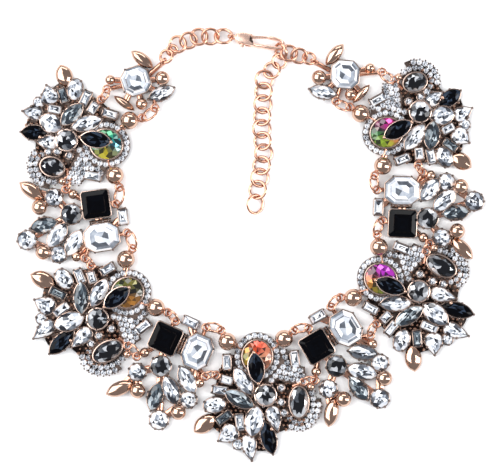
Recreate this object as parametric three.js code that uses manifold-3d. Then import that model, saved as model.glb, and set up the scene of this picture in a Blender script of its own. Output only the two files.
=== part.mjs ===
// A bib necklace of cast clusters set with cut stones, joined by jump rings, with a chain, a
// lobster clasp and an extension chain. It lies flat, backs down, and is seen from +Z.
// Millimetres, +Z up, X to the right, Y towards the clasp.
import * as THREE from 'three';
import { mergeVertices } from 'three/addons/utils/BufferGeometryUtils.js';
import Module from 'manifold-3d';

const wasm = await Module();
wasm.setup();
const { Manifold, Mesh: ManifoldMesh } = wasm;

// Reach of each casting from its middle stone to its far tip
const rosetteReach = 25;
const barReach = 35;
const linkReach = 17;

// Cut stones: length, width, then the heights that all of them share
const marquise = { length: 13.2, width: 6.6 };
const pear = { length: 10.8, width: 6.2 };
const baguette = { length: 7, width: 3.5 };
const oval = { length: 9.2, width: 6.4 };
const chaton = { length: 7.2, width: 7.2 };
const bullet = { length: 11.6, width: 7 };
const rainbowOval = { length: 13.4, width: 12.4 };
const centreRound = { length: 8.6, width: 8.6 };
const hematiteOval = { length: 13, width: 7.8 };
const blackSquare = { length: 11.6, width: 11.6 };
const clearOctagon = { length: 14.4, width: 11.6 };
const endOctagon = { length: 11.6, width: 11.6 };
const pavilionDepth = 2;
const bezelGrip = 0.5;
const crownHeight = 1.5;
const smallCrown = 1.2;
const cornerCut = 0.24;

// Metal of the castings
const backThickness = 1.4;
const ribWidth = 2.6;
const bezelWall = 0.55;
const settingHeight = 2.7;
const centreLift = 1.9;
const postWidth = 2.6;
const haloWidth = 3;
const haloHeight = 2.6;

// Gold balls
const bigBall = 7.6;
const middleBall = 6.6;
const linkBall = 6.2;
const endBall = 5;
const smallBall = 4.2;

// Eyes, jump rings and chain
const wire = 1.1;
const jumpWire = 0.9;
const eyeHole = 2.6;
const eyeWall = 0.45;
const eyeThickness = 0.6;
const eyeLevel = 2.9;
const jointGap = 5.45;
const ringFill = 0.92;
const ringLean = 58;
const chainLink = 5.9;
const endRingShare = 1.3;
const hubRing = 6.4;
const flatRoll = -35;
const steepRoll = 50;

// Lobster clasp
const claspLength = 22.6;
const claspNeck = 1.695;
const claspWidth = 6;
const cheekThickness = 3.2;
const hookThickness = 1.6;
const claspRoll = -12;
const claspHeading = -9;
const claspEyeRoll = 62;
const leverThickness = 1.2;
const pinDiameter = 1.2;

// Gap between pieces that touch, and the facets of round things
const gap = 0.3;
const ballSides = 10;
const ballRows = 4;
const wireSides = 5;
const ringSides = 10;
const eyeSides = 8;

// Joined faces that lie flat together within this become one
const flatness = 0.08;

const roseGold = { color: 0xd9a08a, roughness: 0.25, metalness: 1 };
const castGold = { color: 0xb98a78, roughness: 0.3, metalness: 1 };
const stoneLooks = {
  rainbow: { color: 0x3f8f6a, roughness: 0.12, metalness: 0.5 },
  hematite: { color: 0x2b2f33, roughness: 0.08, metalness: 0.9 },
  black: { color: 0x0b0e14, roughness: 0.08, metalness: 0.1 },
  clear: { color: 0xdfe6f0, roughness: 0.05, metalness: 0.2 },
};

const vec = (x, y, z = 0) => new THREE.Vector3(x, y, z);
const radians = THREE.MathUtils.degToRad;
const direction = (degrees) => vec(Math.cos(radians(degrees)), Math.sin(radians(degrees)));

// Unit outlines, one across and one along, with their points anticlockwise
const circle = (sides) =>
  Array.from({ length: sides }, (_, i) => direction((360 * (i + 0.5)) / sides).multiplyScalar(0.5));
const mirrored = (upper) => [
  ...upper,
  ...upper.slice(1, -1).reverse().map(([x, y]) => [x, -y]),
].map(([x, y]) => vec(x, y));
const outlines = {
  marquise: mirrored([[0.5, 0], [0.17, 0.5], [-0.17, 0.5], [-0.5, 0]]),
  pear: mirrored([[0.5, 0], [0.12, 0.42], [-0.24, 0.5], [-0.5, 0]]),
  baguette: [vec(0.5, 0.5), vec(-0.5, 0.5), vec(-0.5, -0.5), vec(0.5, -0.5)],
  round: circle(10),
  bead: circle(8),
  speck: circle(6),
  halo: circle(12),
  octagon: [[0.5, 0.5 - cornerCut], [0.5 - cornerCut, 0.5]].concat(
    [[-0.5 + cornerCut, 0.5], [-0.5, 0.5 - cornerCut]],
    [[-0.5, -0.5 + cornerCut], [-0.5 + cornerCut, -0.5]],
    [[0.5 - cornerCut, -0.5], [0.5, -0.5 + cornerCut]],
  ).map(([x, y]) => vec(x, y)),
  square: [[0.5, 0.42], [0.42, 0.5], [-0.42, 0.5], [-0.5, 0.42]].concat(
    [[-0.5, -0.42], [-0.42, -0.5], [0.42, -0.5], [0.5, -0.42]],
  ).map(([x, y]) => vec(x, y)),
};

// An outline at its real size, grown evenly by some millimetres on every side
function sized(outline, length, width, growth = 0) {
  const points = outline.map((p) => vec(p.x * length, p.y * width));
  if (!growth) return points;
  return points.map((p, i) => {
    const before = points[(i + points.length - 1) % points.length];
    const after = points[(i + 1) % points.length];
    const a = p.clone().sub(before).normalize();
    const b = after.clone().sub(p).normalize();
    const normalA = vec(a.y, -a.x);
    const normalB = vec(b.y, -b.x);
    const bisector = normalA.clone().add(normalB).normalize();
    return p.clone().addScaledVector(bisector, growth / bisector.dot(normalA));
  });
}

// Closed solid through rings of points, lowest first, with flat ends
function loft(rings) {
  const sides = rings[0].length;
  const positions = rings.flat().flatMap((p) => [p.x, p.y, p.z]);
  const index = [];
  for (let r = 0; r + 1 < rings.length; r++) {
    for (let i = 0; i < sides; i++) {
      const a = r * sides + i;
      const b = r * sides + ((i + 1) % sides);
      index.push(a, b, b + sides, a, b + sides, a + sides);
    }
  }
  const top = (rings.length - 1) * sides;
  for (let i = 1; i + 1 < sides; i++) {
    index.push(0, i + 1, i, top, top + i, top + i + 1);
  }
  const geometry = new THREE.BufferGeometry();
  geometry.setAttribute('position', new THREE.Float32BufferAttribute(positions, 3));
  geometry.setIndex(index);
  return geometry;
}

const atHeight = (points, share, z) => points.map((p) => vec(p.x * share, p.y * share, z));

// A straight-sided block with the outline's plan
const prism = (points, z0, z1) => loft([atHeight(points, 1, z0), atHeight(points, 1, z1)]);

function solid(geometry) {
  let g = geometry.clone();
  g.deleteAttribute('normal');
  g.deleteAttribute('uv');
  g = mergeVertices(g, 1e-4);
  return new Manifold(new ManifoldMesh({
    numProp: 3,
    vertProperties: new Float32Array(g.attributes.position.array),
    triVerts: new Uint32Array(g.index.array),
  }));
}

const joined = (solids) => solids.reduce((all, one) => all.add(one));

function meshOf(body, name, look) {
  const data = body.asOriginal().simplify(flatness).getMesh();
  const geometry = new THREE.BufferGeometry();
  geometry.setAttribute('position', new THREE.Float32BufferAttribute(data.vertProperties, 3));
  geometry.setIndex(Array.from(data.triVerts));
  geometry.computeVertexNormals();
  const mesh = new THREE.Mesh(geometry, new THREE.MeshStandardMaterial(look));
  mesh.name = name;
  return mesh;
}

// Geometry moved to a place in the casting and turned about Z
const put = (geometry, place, turn = 0) =>
  geometry.clone().rotateZ(radians(turn)).translate(place.x, place.y, place.z);

// Upright rib between two places
function rib(from, to, width, z0, z1) {
  const run = to.clone().sub(from).setZ(0);
  const middle = from.clone().add(to).multiplyScalar(0.5);
  return new THREE.BoxGeometry(run.length(), width, z1 - z0)
    .rotateZ(Math.atan2(run.y, run.x))
    .translate(middle.x, middle.y, (z0 + z1) / 2);
}

const ball = (diameter, place) =>
  new THREE.SphereGeometry(diameter / 2, ballSides, ballRows)
    .rotateX(Math.PI / 2)
    .translate(place.x, place.y, diameter / 2);

// Frame whose first axis is the heading and whose second is rolled up from the ground
function rolledFrame(centre, heading, roll) {
  const along = heading.clone().normalize();
  const level = vec(0, 0, 1).cross(along).normalize();
  const upward = along.clone().cross(level);
  const rolled = level.multiplyScalar(Math.cos(radians(roll)))
    .addScaledVector(upward, Math.sin(radians(roll)));
  const normal = along.clone().cross(rolled);
  return new THREE.Matrix4().makeBasis(along, rolled, normal).setPosition(centre);
}

const ringAt = (centre, heading, roll, diameter, thickness = wire) =>
  new THREE.TorusGeometry(diameter / 2, thickness / 2, wireSides, ringSides)
    .applyMatrix4(rolledFrame(centre, heading, roll));

// A washer-shaped eye that a ring passes through
function eyeAt(centre, heading, roll) {
  const inner = eyeHole / 2;
  const outer = inner + eyeWall;
  const half = eyeThickness / 2;
  const section = [[inner, -half], [outer, -half], [outer, half], [inner, half], [inner, -half]];
  return new THREE.LatheGeometry(section.map(([r, z]) => new THREE.Vector2(r, z)), eyeSides)
    .rotateX(Math.PI / 2)
    .applyMatrix4(rolledFrame(centre, heading, roll));
}

// Where the girdle of a main stone sits above the casting's back
const girdleLevel = backThickness / 2 + gap + pavilionDepth;

// A loose cut stone: culet, pavilion, girdle, crown and table
function gem(outline, size) {
  const points = sized(outline, size.length, size.width);
  return loft([
    atHeight(points, 0.16, -pavilionDepth),
    atHeight(points, 1, 0),
    atHeight(points, 0.6, crownHeight),
  ]);
}

// A small stone with its cup, fused to the casting
function setStone(outline, length, width, height, foot) {
  const points = sized(outline, length, width);
  return loft([
    atHeight(points, 0.82, foot),
    atHeight(points, 1, height),
    atHeight(points, 0.55, height + smallCrown),
  ]);
}

// Bezel wall round a main stone, and the pocket that it drops into
function bezel(outline, size, lift = 0) {
  return prism(sized(outline, size.length, size.width, gap + bezelWall), 0,
    lift + girdleLevel + bezelGrip);
}
function pocket(outline, size, lift = 0) {
  const top = lift + girdleLevel + bezelGrip + crownHeight + gap;
  return prism(sized(outline, size.length, size.width, gap), lift + backThickness / 2, top);
}

// Small stones of a rosette. Places are shares of its reach, from the centre stone. Lengths and
// widths are shares of the cut's own size. Turn is in degrees, height a share of a setting's.
const rosetteStones = [
  // cut, x, y, length, width, turn, height
  ['marquise', -0.37, 0.23, 1.0, 0.95, 123, 1.3],
  ['marquise', -0.44, -0.07, 1.05, 0.95, 152, 1.3],
  ['marquise', -0.19, -0.44, 1.0, 1.15, 80, 1.3],
  ['pear', 0.15, -0.4, 1.0, 0.95, -75, 1.2],
  ['marquise', 0.05, -0.72, 1.08, 0.95, 105, 1.1],
  ['pear', -0.27, -0.89, 1.0, 1.0, -80, 0.9],
  ['pear', -0.64, -0.67, 0.85, 1.2, -146, 1.0],
  ['baguette', -0.43, -0.46, 1.0, 0.95, 97, 1.0],
  ['baguette', -0.7, -0.38, 1.0, 0.95, 35, 1.0],
  ['oval', -0.86, -0.17, 1.0, 1.0, 8, 1.1],
  ['baguette', -0.77, 0.08, 0.9, 0.95, -8, 1.1],
  ['baguette', -0.655, 0.25, 0.72, 0.95, -14, 1.0],
  ['baguette', -0.65, 0.55, 0.9, 0.95, 92, 1.0],
  ['bullet', -1.02, -0.49, 1.0, 1.0, 37, 0.8],
  ['speck', -0.46, -0.83, 0.62, 0.62, 0, 0.9],
  ['baguette', 0.49, 0.6, 1.0, 0.95, 98, 1.0],
];

// Outline of the rosette's back plate, anticlockwise, as shares of its reach
const rosetteBack = [
  // x, y
  [0.7, -0.17], [0.56, 0.14], [0.5, 0.6], [0.17, 0.67], [-0.55, 0.67], [-0.8, 0.34], [-0.87, -0.13],
  [-0.92, -0.47], [-0.7, -0.7], [-0.34, -0.92], [0.08, -0.92], [0.2, -0.64], [0.67, -0.5],
];

const cuts = {
  marquise: [outlines.marquise, marquise],
  pear: [outlines.pear, pear],
  baguette: [outlines.baguette, baguette],
  oval: [outlines.bead, oval],
  chaton: [outlines.bead, chaton],
  speck: [outlines.speck, chaton],
  bullet: [outlines.marquise, bullet],
  round: [outlines.round, centreRound],
};

// Main stones of each casting: where they sit as shares of its reach, their turn and their lift
const rosetteMain = [
  { name: 'rainbow_oval', outline: outlines.round, size: rainbowOval, x: -0.14, y: 0.65, turn: 90,
    lift: 0.4, look: stoneLooks.rainbow },
  { name: 'centre_hematite', outline: outlines.round, size: centreRound, x: 0, y: 0, turn: 0,
    lift: centreLift, look: stoneLooks.hematite },
  { name: 'hematite_oval', outline: outlines.round, size: hematiteOval, x: 0.56, y: -0.12,
    turn: 90, lift: 0.4, look: stoneLooks.hematite },
];
const barMain = [
  { name: 'black_square', outline: outlines.square, size: blackSquare, x: 0, y: 0, turn: -23.5,
    lift: 0.3, look: stoneLooks.black },
  { name: 'clear_octagon', outline: outlines.octagon, size: clearOctagon, x: 0.385, y: -0.15,
    turn: 68, lift: 0, look: stoneLooks.clear },
];
const linkMain = [
  { name: 'end_octagon', outline: outlines.octagon, size: endOctagon, x: 0, y: 0, turn: 17,
    lift: 0, look: stoneLooks.clear },
];

const barStones = [
  // cut, x, y, length, width, turn, height
  ['baguette', 0.3, 0.2, 0.96, 1.05, -24, 1.0],
  ['round', -0.05, -0.33, 1.0, 1.0, 0, 1.2],
  ['chaton', -0.33, -0.41, 1.0, 1.0, 0, 1.0],
  ['marquise', -0.54, -0.61, 0.95, 0.9, 24, 1.0],
  ['marquise', -0.11, -0.7, 0.92, 0.95, 74, 1.1],
  ['marquise', 0.08, -0.62, 0.98, 0.98, 112, 1.1],
  ['marquise', 0.27, -0.49, 0.95, 0.95, 120, 1.2],
  ['chaton', 0.29, -0.73, 0.96, 0.96, 0, 1.0],
  ['chaton', -0.06, -0.98, 1.08, 1.08, 0, 1.0],
];
// Ribs of the bar's back, from place to place, as shares of its reach
const barRibs = [
  // x, y, x, y
  [0, 0, 0.385, -0.15], [0, 0, -0.05, -0.33], [-0.05, -0.33, -0.33, -0.41],
  [-0.33, -0.41, -0.54, -0.61], [-0.33, -0.41, -0.32, -0.63], [-0.05, -0.33, -0.06, -0.98],
  [0.385, -0.15, 0.29, -0.73], [0.29, -0.73, -0.06, -0.98], [-0.05, -0.33, 0.12, -0.72],
  [0.385, -0.15, 0.3, 0.2],
];

const linkStones = [
  // cut, x, y, length, width, turn, height
  ['marquise', 0.15, 0.54, 0.87, 0.76, -38, 1.0],
  ['marquise', 0.63, -0.31, 0.88, 0.84, 24, 1.0],
  ['marquise', -0.29, -0.55, 0.8, 0.52, -35, 1.0],
];

// Eyes at the sides of a casting as shares of its reach: the inner one lies nearer the neck.
// The ball behind an eye lies off it at an angle, and is as big as the row says. Root is the
// place on the casting that the eye's arm grows from.
const rosetteEyes = {
  right: {
    inner: { x: 0.478, y: 1.08, ball: bigBall, angle: 218, root: [0.1, 0.75] },
    outer: { x: 0.64, y: 0.22, ball: 0, angle: 0, root: [0.45, 0.15] },
  },
  left: {
    inner: { x: -0.75, y: 1.085, ball: bigBall, angle: -60, root: [-0.4, 0.75] },
    outer: { x: -0.832, y: 0.335, ball: 0, angle: 0, root: [-0.7, 0.3] },
  },
};
const barEyes = {
  right: {
    inner: { x: 0.486, y: 0.143, ball: 0, angle: 0, root: [0.42, -0.05] },
    outer: { x: 0.486, y: -0.445, ball: smallBall, angle: 230, root: [0.36, -0.3] },
  },
  left: {
    inner: { x: 0.12, y: 0.209, ball: 0, angle: 0, root: [0.06, 0.14] },
    outer: { x: -0.34, y: -0.22, ball: smallBall, angle: 27, root: [-0.12, -0.1] },
  },
};
const linkEyes = {
  left: {
    inner: { x: 0.47, y: -0.67, ball: 0, angle: 0, root: [0.45, -0.4] },
    outer: { x: -0.72, y: -0.2, ball: 0, angle: 0, root: [-0.2, -0.1] },
    chain: { x: 0.68, y: 0.47, ball: 0, angle: 0, root: [0.3, 0.15] },
  },
  right: {
    inner: { x: 0.36, y: -0.6, ball: 0, angle: 0, root: [0.2, -0.3] },
    outer: { x: -0.9, y: -0.13, ball: 0, angle: 0, root: [-0.2, -0.05] },
    chain: { x: 0.68, y: 0.47, ball: 0, angle: 0, root: [0.3, 0.15] },
  },
};
const lowerBall = { left: [0.14, -0.57], right: [-0.03, -0.52] };
const linkEyesOf = (hand) => (hand > 0 ? linkEyes.left : linkEyes.right);

// Clear distance from a ring in an eye's hole to the middle of the ball behind it
const ballStandOff = (diameter) => diameter / 2 + 1.15 * wire + gap;

const eyePlace = (eye, reach) => vec(eye.x * reach, eye.y * reach, eyeLevel);

function eyeParts(eye, reach) {
  const place = eyePlace(eye, reach);
  const root = vec(eye.root[0] * reach, eye.root[1] * reach);
  const arm = place.clone().setZ(0).sub(root);
  const reachOfArm = arm.length() - eyeHole / 2 - eyeWall / 2;
  const tip = root.clone().addScaledVector(arm.normalize(), Math.max(reachOfArm, eyeWall));
  const parts = [
    eyeAt(place, vec(1, 0), 0),
    rib(root, tip, 2 * eyeWall + wire, 0, eyeLevel + eyeThickness / 2),
  ];
  if (eye.ball) {
    const off = direction(eye.angle).multiplyScalar(ballStandOff(eye.ball));
    const middle = place.clone().add(off).setZ(0);
    parts.push(ball(eye.ball, middle), rib(root, middle, ribWidth, 0, backThickness));
  }
  return parts;
}

// A narrow copy of a casting has its lower fan drawn in to the fan share, and its right side half
// as much
const drawnIn = (x, y, reach, fan) =>
  vec(x > 0 ? (x * (1 + fan)) / 2 : x, y < 0 ? y * fan : y).multiplyScalar(reach);
const drawnLength = (turn, fan) => 1 - (1 - fan) * Math.abs(Math.sin(radians(turn)));

function smallStones(rows, reach, fan, foot = 0) {
  return rows.map(([cut, x, y, length, width, turn, height]) => {
    const [outline, size] = cuts[cut];
    const along = y < 0 ? drawnLength(turn, fan) : 1;
    const stone = setStone(outline, size.length * length * along, size.width * width,
      settingHeight * height, foot);
    return put(stone, drawnIn(x, y, reach, fan), turn);
  });
}

// Stone and bezel geometry of the main stones, in the casting's own frame
function mainParts(rows, reach, fan) {
  return rows.map((stone) => {
    const place = drawnIn(stone.x, stone.y, reach, fan);
    const along = stone.y < 0 && stone.x > 0.5 ? drawnLength(stone.turn, fan) : 1;
    const size = { length: stone.size.length * along, width: stone.size.width };
    return {
      row: stone,
      place,
      size,
      wall: put(bezel(stone.outline, size, stone.lift), place, stone.turn),
      hollow: put(pocket(stone.outline, size, stone.lift), place, stone.turn),
      gem: put(gem(stone.outline, size), place.clone().setZ(girdleLevel + stone.lift), stone.turn),
    };
  });
}

// Rosette: back plate, halo, petals, and a black marquise lifted over the rainbow oval
function rosette(fan) {
  const reach = rosetteReach;
  const mains = mainParts(rosetteMain, reach, fan);
  const rainbow = mains[0];
  const side = mains[2];
  const haloPoints = sized(outlines.halo, rainbowOval.length, rainbowOval.width,
    gap + bezelWall + haloWidth);
  const sideHalo = sized(outlines.round, side.size.length, side.size.width,
    gap + bezelWall + haloWidth * 0.6);
  const band = new THREE.BoxGeometry(0.5 * reach, 0.26 * reach, haloHeight)
    .rotateZ(radians(-11))
    .translate(0.27 * reach, 0.34 * reach, haloHeight / 2);
  const plate = prism(rosetteBack.map(([x, y]) => drawnIn(x, y, reach, fan)), 0, backThickness);
  const eyes = ['left', 'right'].flatMap((sideName) =>
    Object.values(rosetteEyes[sideName]).flatMap((eye) => eyeParts(eye, reach)));
  const low = [
    plate,
    put(prism(haloPoints, 0, haloHeight), rainbow.place, rainbow.row.turn),
    put(prism(sideHalo, 0, haloHeight * 0.8), side.place.clone().add(vec(0.03 * reach,
      -0.09 * reach)), side.row.turn),
    band, ...mains.map((m) => m.wall), ...eyes,
    ...smallStones(rosetteStones, reach, fan, backThickness / 2),
  ];
  let body = joined(low.map(solid));
  for (const main of mains) body = body.subtract(solid(main.hollow));
  const perch = girdleLevel + rainbow.row.lift + bezelGrip + crownHeight + gap;
  const overlay = loft([
    atHeight(sized(outlines.marquise, marquise.length, marquise.width), 0.7, perch),
    atHeight(sized(outlines.marquise, marquise.length, marquise.width), 1, perch + smallCrown),
    atHeight(sized(outlines.marquise, marquise.length, marquise.width), 0.55,
      perch + 2 * smallCrown),
  ]);
  const gapMiddle = (centreRound.length / 2 + rainbow.place.y - rainbowOval.length / 2) / 2;
  const post = new THREE.BoxGeometry(postWidth, postWidth / 2, perch + smallCrown)
    .translate(-0.1 * reach, gapMiddle, (perch + smallCrown) / 2);
  body = body.add(solid(put(overlay, vec(-0.16 * reach, 0.46 * reach), 99))).add(solid(post));
  return { body, mains };
}

function bar(fan) {
  const reach = barReach;
  const mains = mainParts(barMain, reach, fan);
  const place = (x, y) => drawnIn(x, y, reach, fan);
  const ribs = barRibs.map(([x0, y0, x1, y1]) =>
    rib(place(x0, y0), place(x1, y1), ribWidth, 0, backThickness));
  const strip = new THREE.BoxGeometry(0.3 * reach, ribWidth / 2, girdleLevel)
    .rotateZ(radians(68)).translate(0.2 * reach, -0.06 * reach, girdleLevel / 2);
  const eyes = ['left', 'right'].flatMap((sideName) =>
    Object.values(barEyes[sideName]).flatMap((eye) => eyeParts(eye, reach)));
  const low = [
    ...ribs, strip, ...mains.map((m) => m.wall), ...smallStones(barStones, reach, fan), ...eyes,
    ball(middleBall, place(-0.32, -0.63)), ball(middleBall, place(0.17, -0.88)),
  ];
  let body = joined(low.map(solid));
  for (const main of mains) body = body.subtract(solid(main.hollow));
  return { body, mains };
}

// End link: an octagon between gold marquises, whose outer ring is soldered on. Hand is 1 for
// the left one and -1 for its mirror image on the right.
function endLink(hand, solderedRing, chainRing) {
  const reach = linkReach;
  const facing = (turn) => (hand > 0 ? turn : 180 - turn);
  const swapped = (eye) => ({ ...eye, x: eye.x * hand, angle: facing(eye.angle),
    root: [eye.root[0] * hand, eye.root[1]] });
  const rows = linkStones.map(([cut, x, y, length, width, turn, height]) =>
    [cut, x * hand, y, length, width, facing(turn), height]);
  const mains = mainParts(linkMain.map((m) => ({ ...m, x: m.x * hand, turn: facing(m.turn) })),
    reach, 1);
  const own = linkEyesOf(hand);
  const [lowerX, lowerY] = hand > 0 ? lowerBall.left : lowerBall.right;
  const lowerPlace = vec(lowerX * hand * reach, lowerY * reach);
  const eyes = { inner: swapped(own.inner), outer: swapped(own.outer), chain: swapped(own.chain) };
  const pad = new THREE.BoxGeometry(2 * wire, 2 * wire, eyeThickness)
    .translate(eyes.outer.x * reach, eyes.outer.y * reach, eyeLevel);
  const chainPlace = eyePlace(eyes.chain, reach);
  const chainRoot = vec(eyes.chain.root[0] * reach, eyes.chain.root[1] * reach);
  const outerPlace = eyePlace(eyes.outer, reach);
  const outerRoot = vec(eyes.outer.root[0] * reach, eyes.outer.root[1] * reach);
  const low = [
    ...mains.map((m) => m.wall), ...smallStones(rows, reach, 1),
    ...rows.map(([, x, y]) => rib(vec(0, 0), vec(x * reach, y * reach), ribWidth, 0,
      backThickness)),
    ...eyeParts(eyes.inner, reach),
    eyeAt(chainPlace, chainRing.heading, chainRing.roll + 90),
    rib(chainRoot, chainPlace, 2 * eyeWall + wire, 0, eyeLevel - eyeHole / 2),
    pad, rib(outerRoot, outerPlace, 2 * wire, 0, eyeLevel), solderedRing,
    ball(linkBall, vec(0.65 * hand * reach, 0.06 * reach)),
    rib(vec(0, 0), vec(0.65 * hand * reach, 0.06 * reach), ribWidth, 0, backThickness),
    ball(smallBall, vec(-0.64 * hand * reach, 0.03 * reach)),
    rib(vec(0, 0), vec(-0.64 * hand * reach, 0.03 * reach), ribWidth, 0, backThickness),
    ball(endBall, lowerPlace),
    rib(vec(0, 0), lowerPlace, ribWidth, 0, backThickness),
  ];
  let body = joined(low.map(solid));
  for (const main of mains) body = body.subtract(solid(main.hollow));
  return { body, mains };
}

// Castings in order from the left end of the chain round to the right end, each with its turn
// and fan share. The bottom rosette lies at the origin and the rest follow from joint to joint.
// A casting may slip inwards along its joint, or lie closer to its neighbour, by some millimetres.
const order = [
  { kind: 'link', name: 'end_link_left', hand: 1, turn: 0, slip: 1.9 },
  { kind: 'rosette', name: 'rosette_1', turn: -108, fan: 0.78 },
  { kind: 'bar', name: 'bar_1', turn: -59, fan: 0.95 },
  { kind: 'rosette', name: 'rosette_2', turn: -61, fan: 1 },
  { kind: 'bar', name: 'bar_2', turn: -1, fan: 1 },
  { kind: 'rosette', name: 'rosette_3', turn: 0, fan: 1 },
  { kind: 'bar', name: 'bar_3', turn: 54, fan: 1 },
  { kind: 'rosette', name: 'rosette_4', turn: 60, fan: 1 },
  { kind: 'bar', name: 'bar_4', turn: 111, fan: 0.92, closer: 0.4 },
  { kind: 'rosette', name: 'rosette_5', turn: 110, fan: 0.76, closer: 0.7 },
  { kind: 'link', name: 'end_link_right', hand: -1, turn: 12, slip: 3.2 },
];
const bottom = 5;

function eyesOf(piece, side) {
  if (piece.kind === 'rosette') return { eyes: rosetteEyes[side], reach: rosetteReach };
  if (piece.kind === 'bar') return { eyes: barEyes[side], reach: barReach };
  const swap = (eye) => ({ ...eye, x: eye.x * piece.hand });
  const { inner, outer } = linkEyesOf(piece.hand);
  return { eyes: { inner: swap(inner), outer: swap(outer) }, reach: linkReach };
}

const turned = (point, degrees) => point.clone().applyAxisAngle(vec(0, 0, 1), radians(degrees));

function turnedEyes(piece, side) {
  const { eyes, reach } = eyesOf(piece, side);
  return [eyes.inner, eyes.outer].map((eye) => turned(eyePlace(eye, reach).setZ(0), piece.turn));
}

// Puts the next casting so that its eyes face those of the one before across the joint's gap
function placeNext(done, side, next, otherSide) {
  const near = turnedEyes(done, side).map((p) => p.add(done.place));
  const far = turnedEyes(next, otherSide);
  const lineOf = ([inner, outer]) => inner.clone().sub(outer).normalize();
  const line = lineOf(near).add(lineOf(far)).normalize();
  const sign = side === 'right' ? 1 : -1;
  const outward = vec(line.y, -line.x).multiplyScalar(sign * (jointGap - (next.closer ?? 0)));
  const middle = ([a, b]) => a.clone().add(b).multiplyScalar(0.5);
  next.place = middle(near).add(outward).sub(middle(far)).addScaledVector(line, next.slip ?? 0);
}
order[bottom].place = vec(0, 0);
for (let i = bottom; i + 1 < order.length; i++) placeNext(order[i], 'right', order[i + 1], 'left');
for (let i = bottom; i > 0; i--) placeNext(order[i], 'left', order[i - 1], 'right');

const eyesAt = (piece, side) =>
  turnedEyes(piece, side).map((p) => p.add(piece.place).setZ(eyeLevel));

// A jump ring through two eyes, leaning over towards the neck
function jointRing(first, second) {
  const run = second.clone().sub(first);
  const diameter = run.length() / ringFill;
  const rise = Math.sqrt(diameter ** 2 - run.length() ** 2) / 2;
  const middle = first.clone().add(second).multiplyScalar(0.5);
  const frame = rolledFrame(middle, run, ringLean);
  const centre = vec(0, rise, 0).applyMatrix4(frame);
  return ringAt(centre, run, ringLean, diameter, jumpWire);
}

const group = new THREE.Group();
const intoPiece = (geometry, piece) =>
  geometry.clone().translate(-piece.place.x, -piece.place.y, 0).rotateZ(radians(-piece.turn));

function addMesh(mesh, piece) {
  if (piece) {
    mesh.position.copy(piece.place);
    mesh.rotation.z = radians(piece.turn);
  }
  group.add(mesh);
}

// Links between two wire ends, the first and last of them flat. Flat and steep ones alternate,
// and every steep one is as long as its flat neighbours ask.
const bite = 0.65 * wire;
function chainOf(start, route, end, lastShare = 1) {
  const curve = new THREE.CatmullRomCurve3([start, ...route, end]);
  const length = curve.getLength();
  const pitch = chainLink - bite;
  let count = Math.round(length / pitch);
  if (count % 2 === 0) count += length / pitch > count ? 1 : -1;
  const diameter = (length + (count - 1) * bite) / (count - 1 + lastShare);
  const isFlat = (i) => i % 2 === 0;
  const links = [];
  for (let i = 0; i < count; i++) {
    if (!isFlat(i)) continue;
    const own = diameter * (i === count - 1 ? lastShare : 1);
    const at = diameter / 2 + i * (diameter - bite) + (own - diameter) / 2;
    links[i] = { centre: curve.getPointAt(at / length), diameter: own };
  }
  for (let i = 0; i < count; i++) {
    if (isFlat(i)) continue;
    const before = links[i - 1];
    const after = links[i + 1];
    const run = after.centre.clone().sub(before.centre);
    const own = run.length() - (before.diameter + after.diameter) / 2 + 2 * bite;
    const centre = before.centre.clone()
      .addScaledVector(run.clone().normalize(), (before.diameter + own) / 2 - bite);
    links[i] = { centre, diameter: own, heading: run, roll: steepRoll };
  }
  for (let i = 0; i < count; i++) {
    if (!isFlat(i)) continue;
    const before = links[i - 1]?.centre ?? start;
    const after = links[i + 1]?.centre ?? end;
    const incoming = links[i].centre.clone().sub(before).normalize();
    const outgoing = after.clone().sub(links[i].centre).normalize();
    const bend = THREE.MathUtils.radToDeg(incoming.angleTo(outgoing));
    links[i].heading = incoming.add(outgoing);
    links[i].roll = flatRoll * Math.max(0, 1 - bend / 60);
  }
  return links;
}
const chainSolid = (links) =>
  joined(links.map((l) => solid(ringAt(l.centre, l.heading, l.roll, l.diameter))));

// The clasp and the chains lie between the chain eyes of the two end links. A route's points are
// shares of the way between its ends: along it, then across it.
const leftEnd = order[0];
const rightEnd = order[order.length - 1];
function chainEye(piece) {
  const { chain } = linkEyesOf(piece.hand);
  const offset = vec(chain.x * piece.hand, chain.y).multiplyScalar(linkReach);
  return turned(offset, piece.turn).add(piece.place).setZ(eyeLevel);
}
const leftEye = chainEye(leftEnd);
const rightEye = chainEye(rightEnd);

function between(a, b, [along, across]) {
  const run = b.clone().sub(a);
  return a.clone().addScaledVector(run, along).add(vec(-run.y, run.x).multiplyScalar(across));
}
const claspPlace = [0.455, 0.165];
const leftRoute = [[0.06, 0.05], [0.1, 0.19], [0.28, 0.16], [0.56, 0.16], [0.86, 0.06]];
const rightRoute = [[0.5, 0.12]];
const extensionRoute = [[-1, -4.8], [-5, -7.4], [-7, -12], [-7.4, -20], [-8.3, -31], [-6.9, -38],
  [-8.4, -50]];
const extensionEnd = [-11.4, -68];

const claspEye = between(leftEye, rightEye, claspPlace);
const claspFrame = rolledFrame(claspEye, direction(claspHeading), claspRoll);
const leftLinks = chainOf(leftEye, leftRoute.map((p) => between(leftEye, claspEye, p)), claspEye,
  endRingShare);

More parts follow.
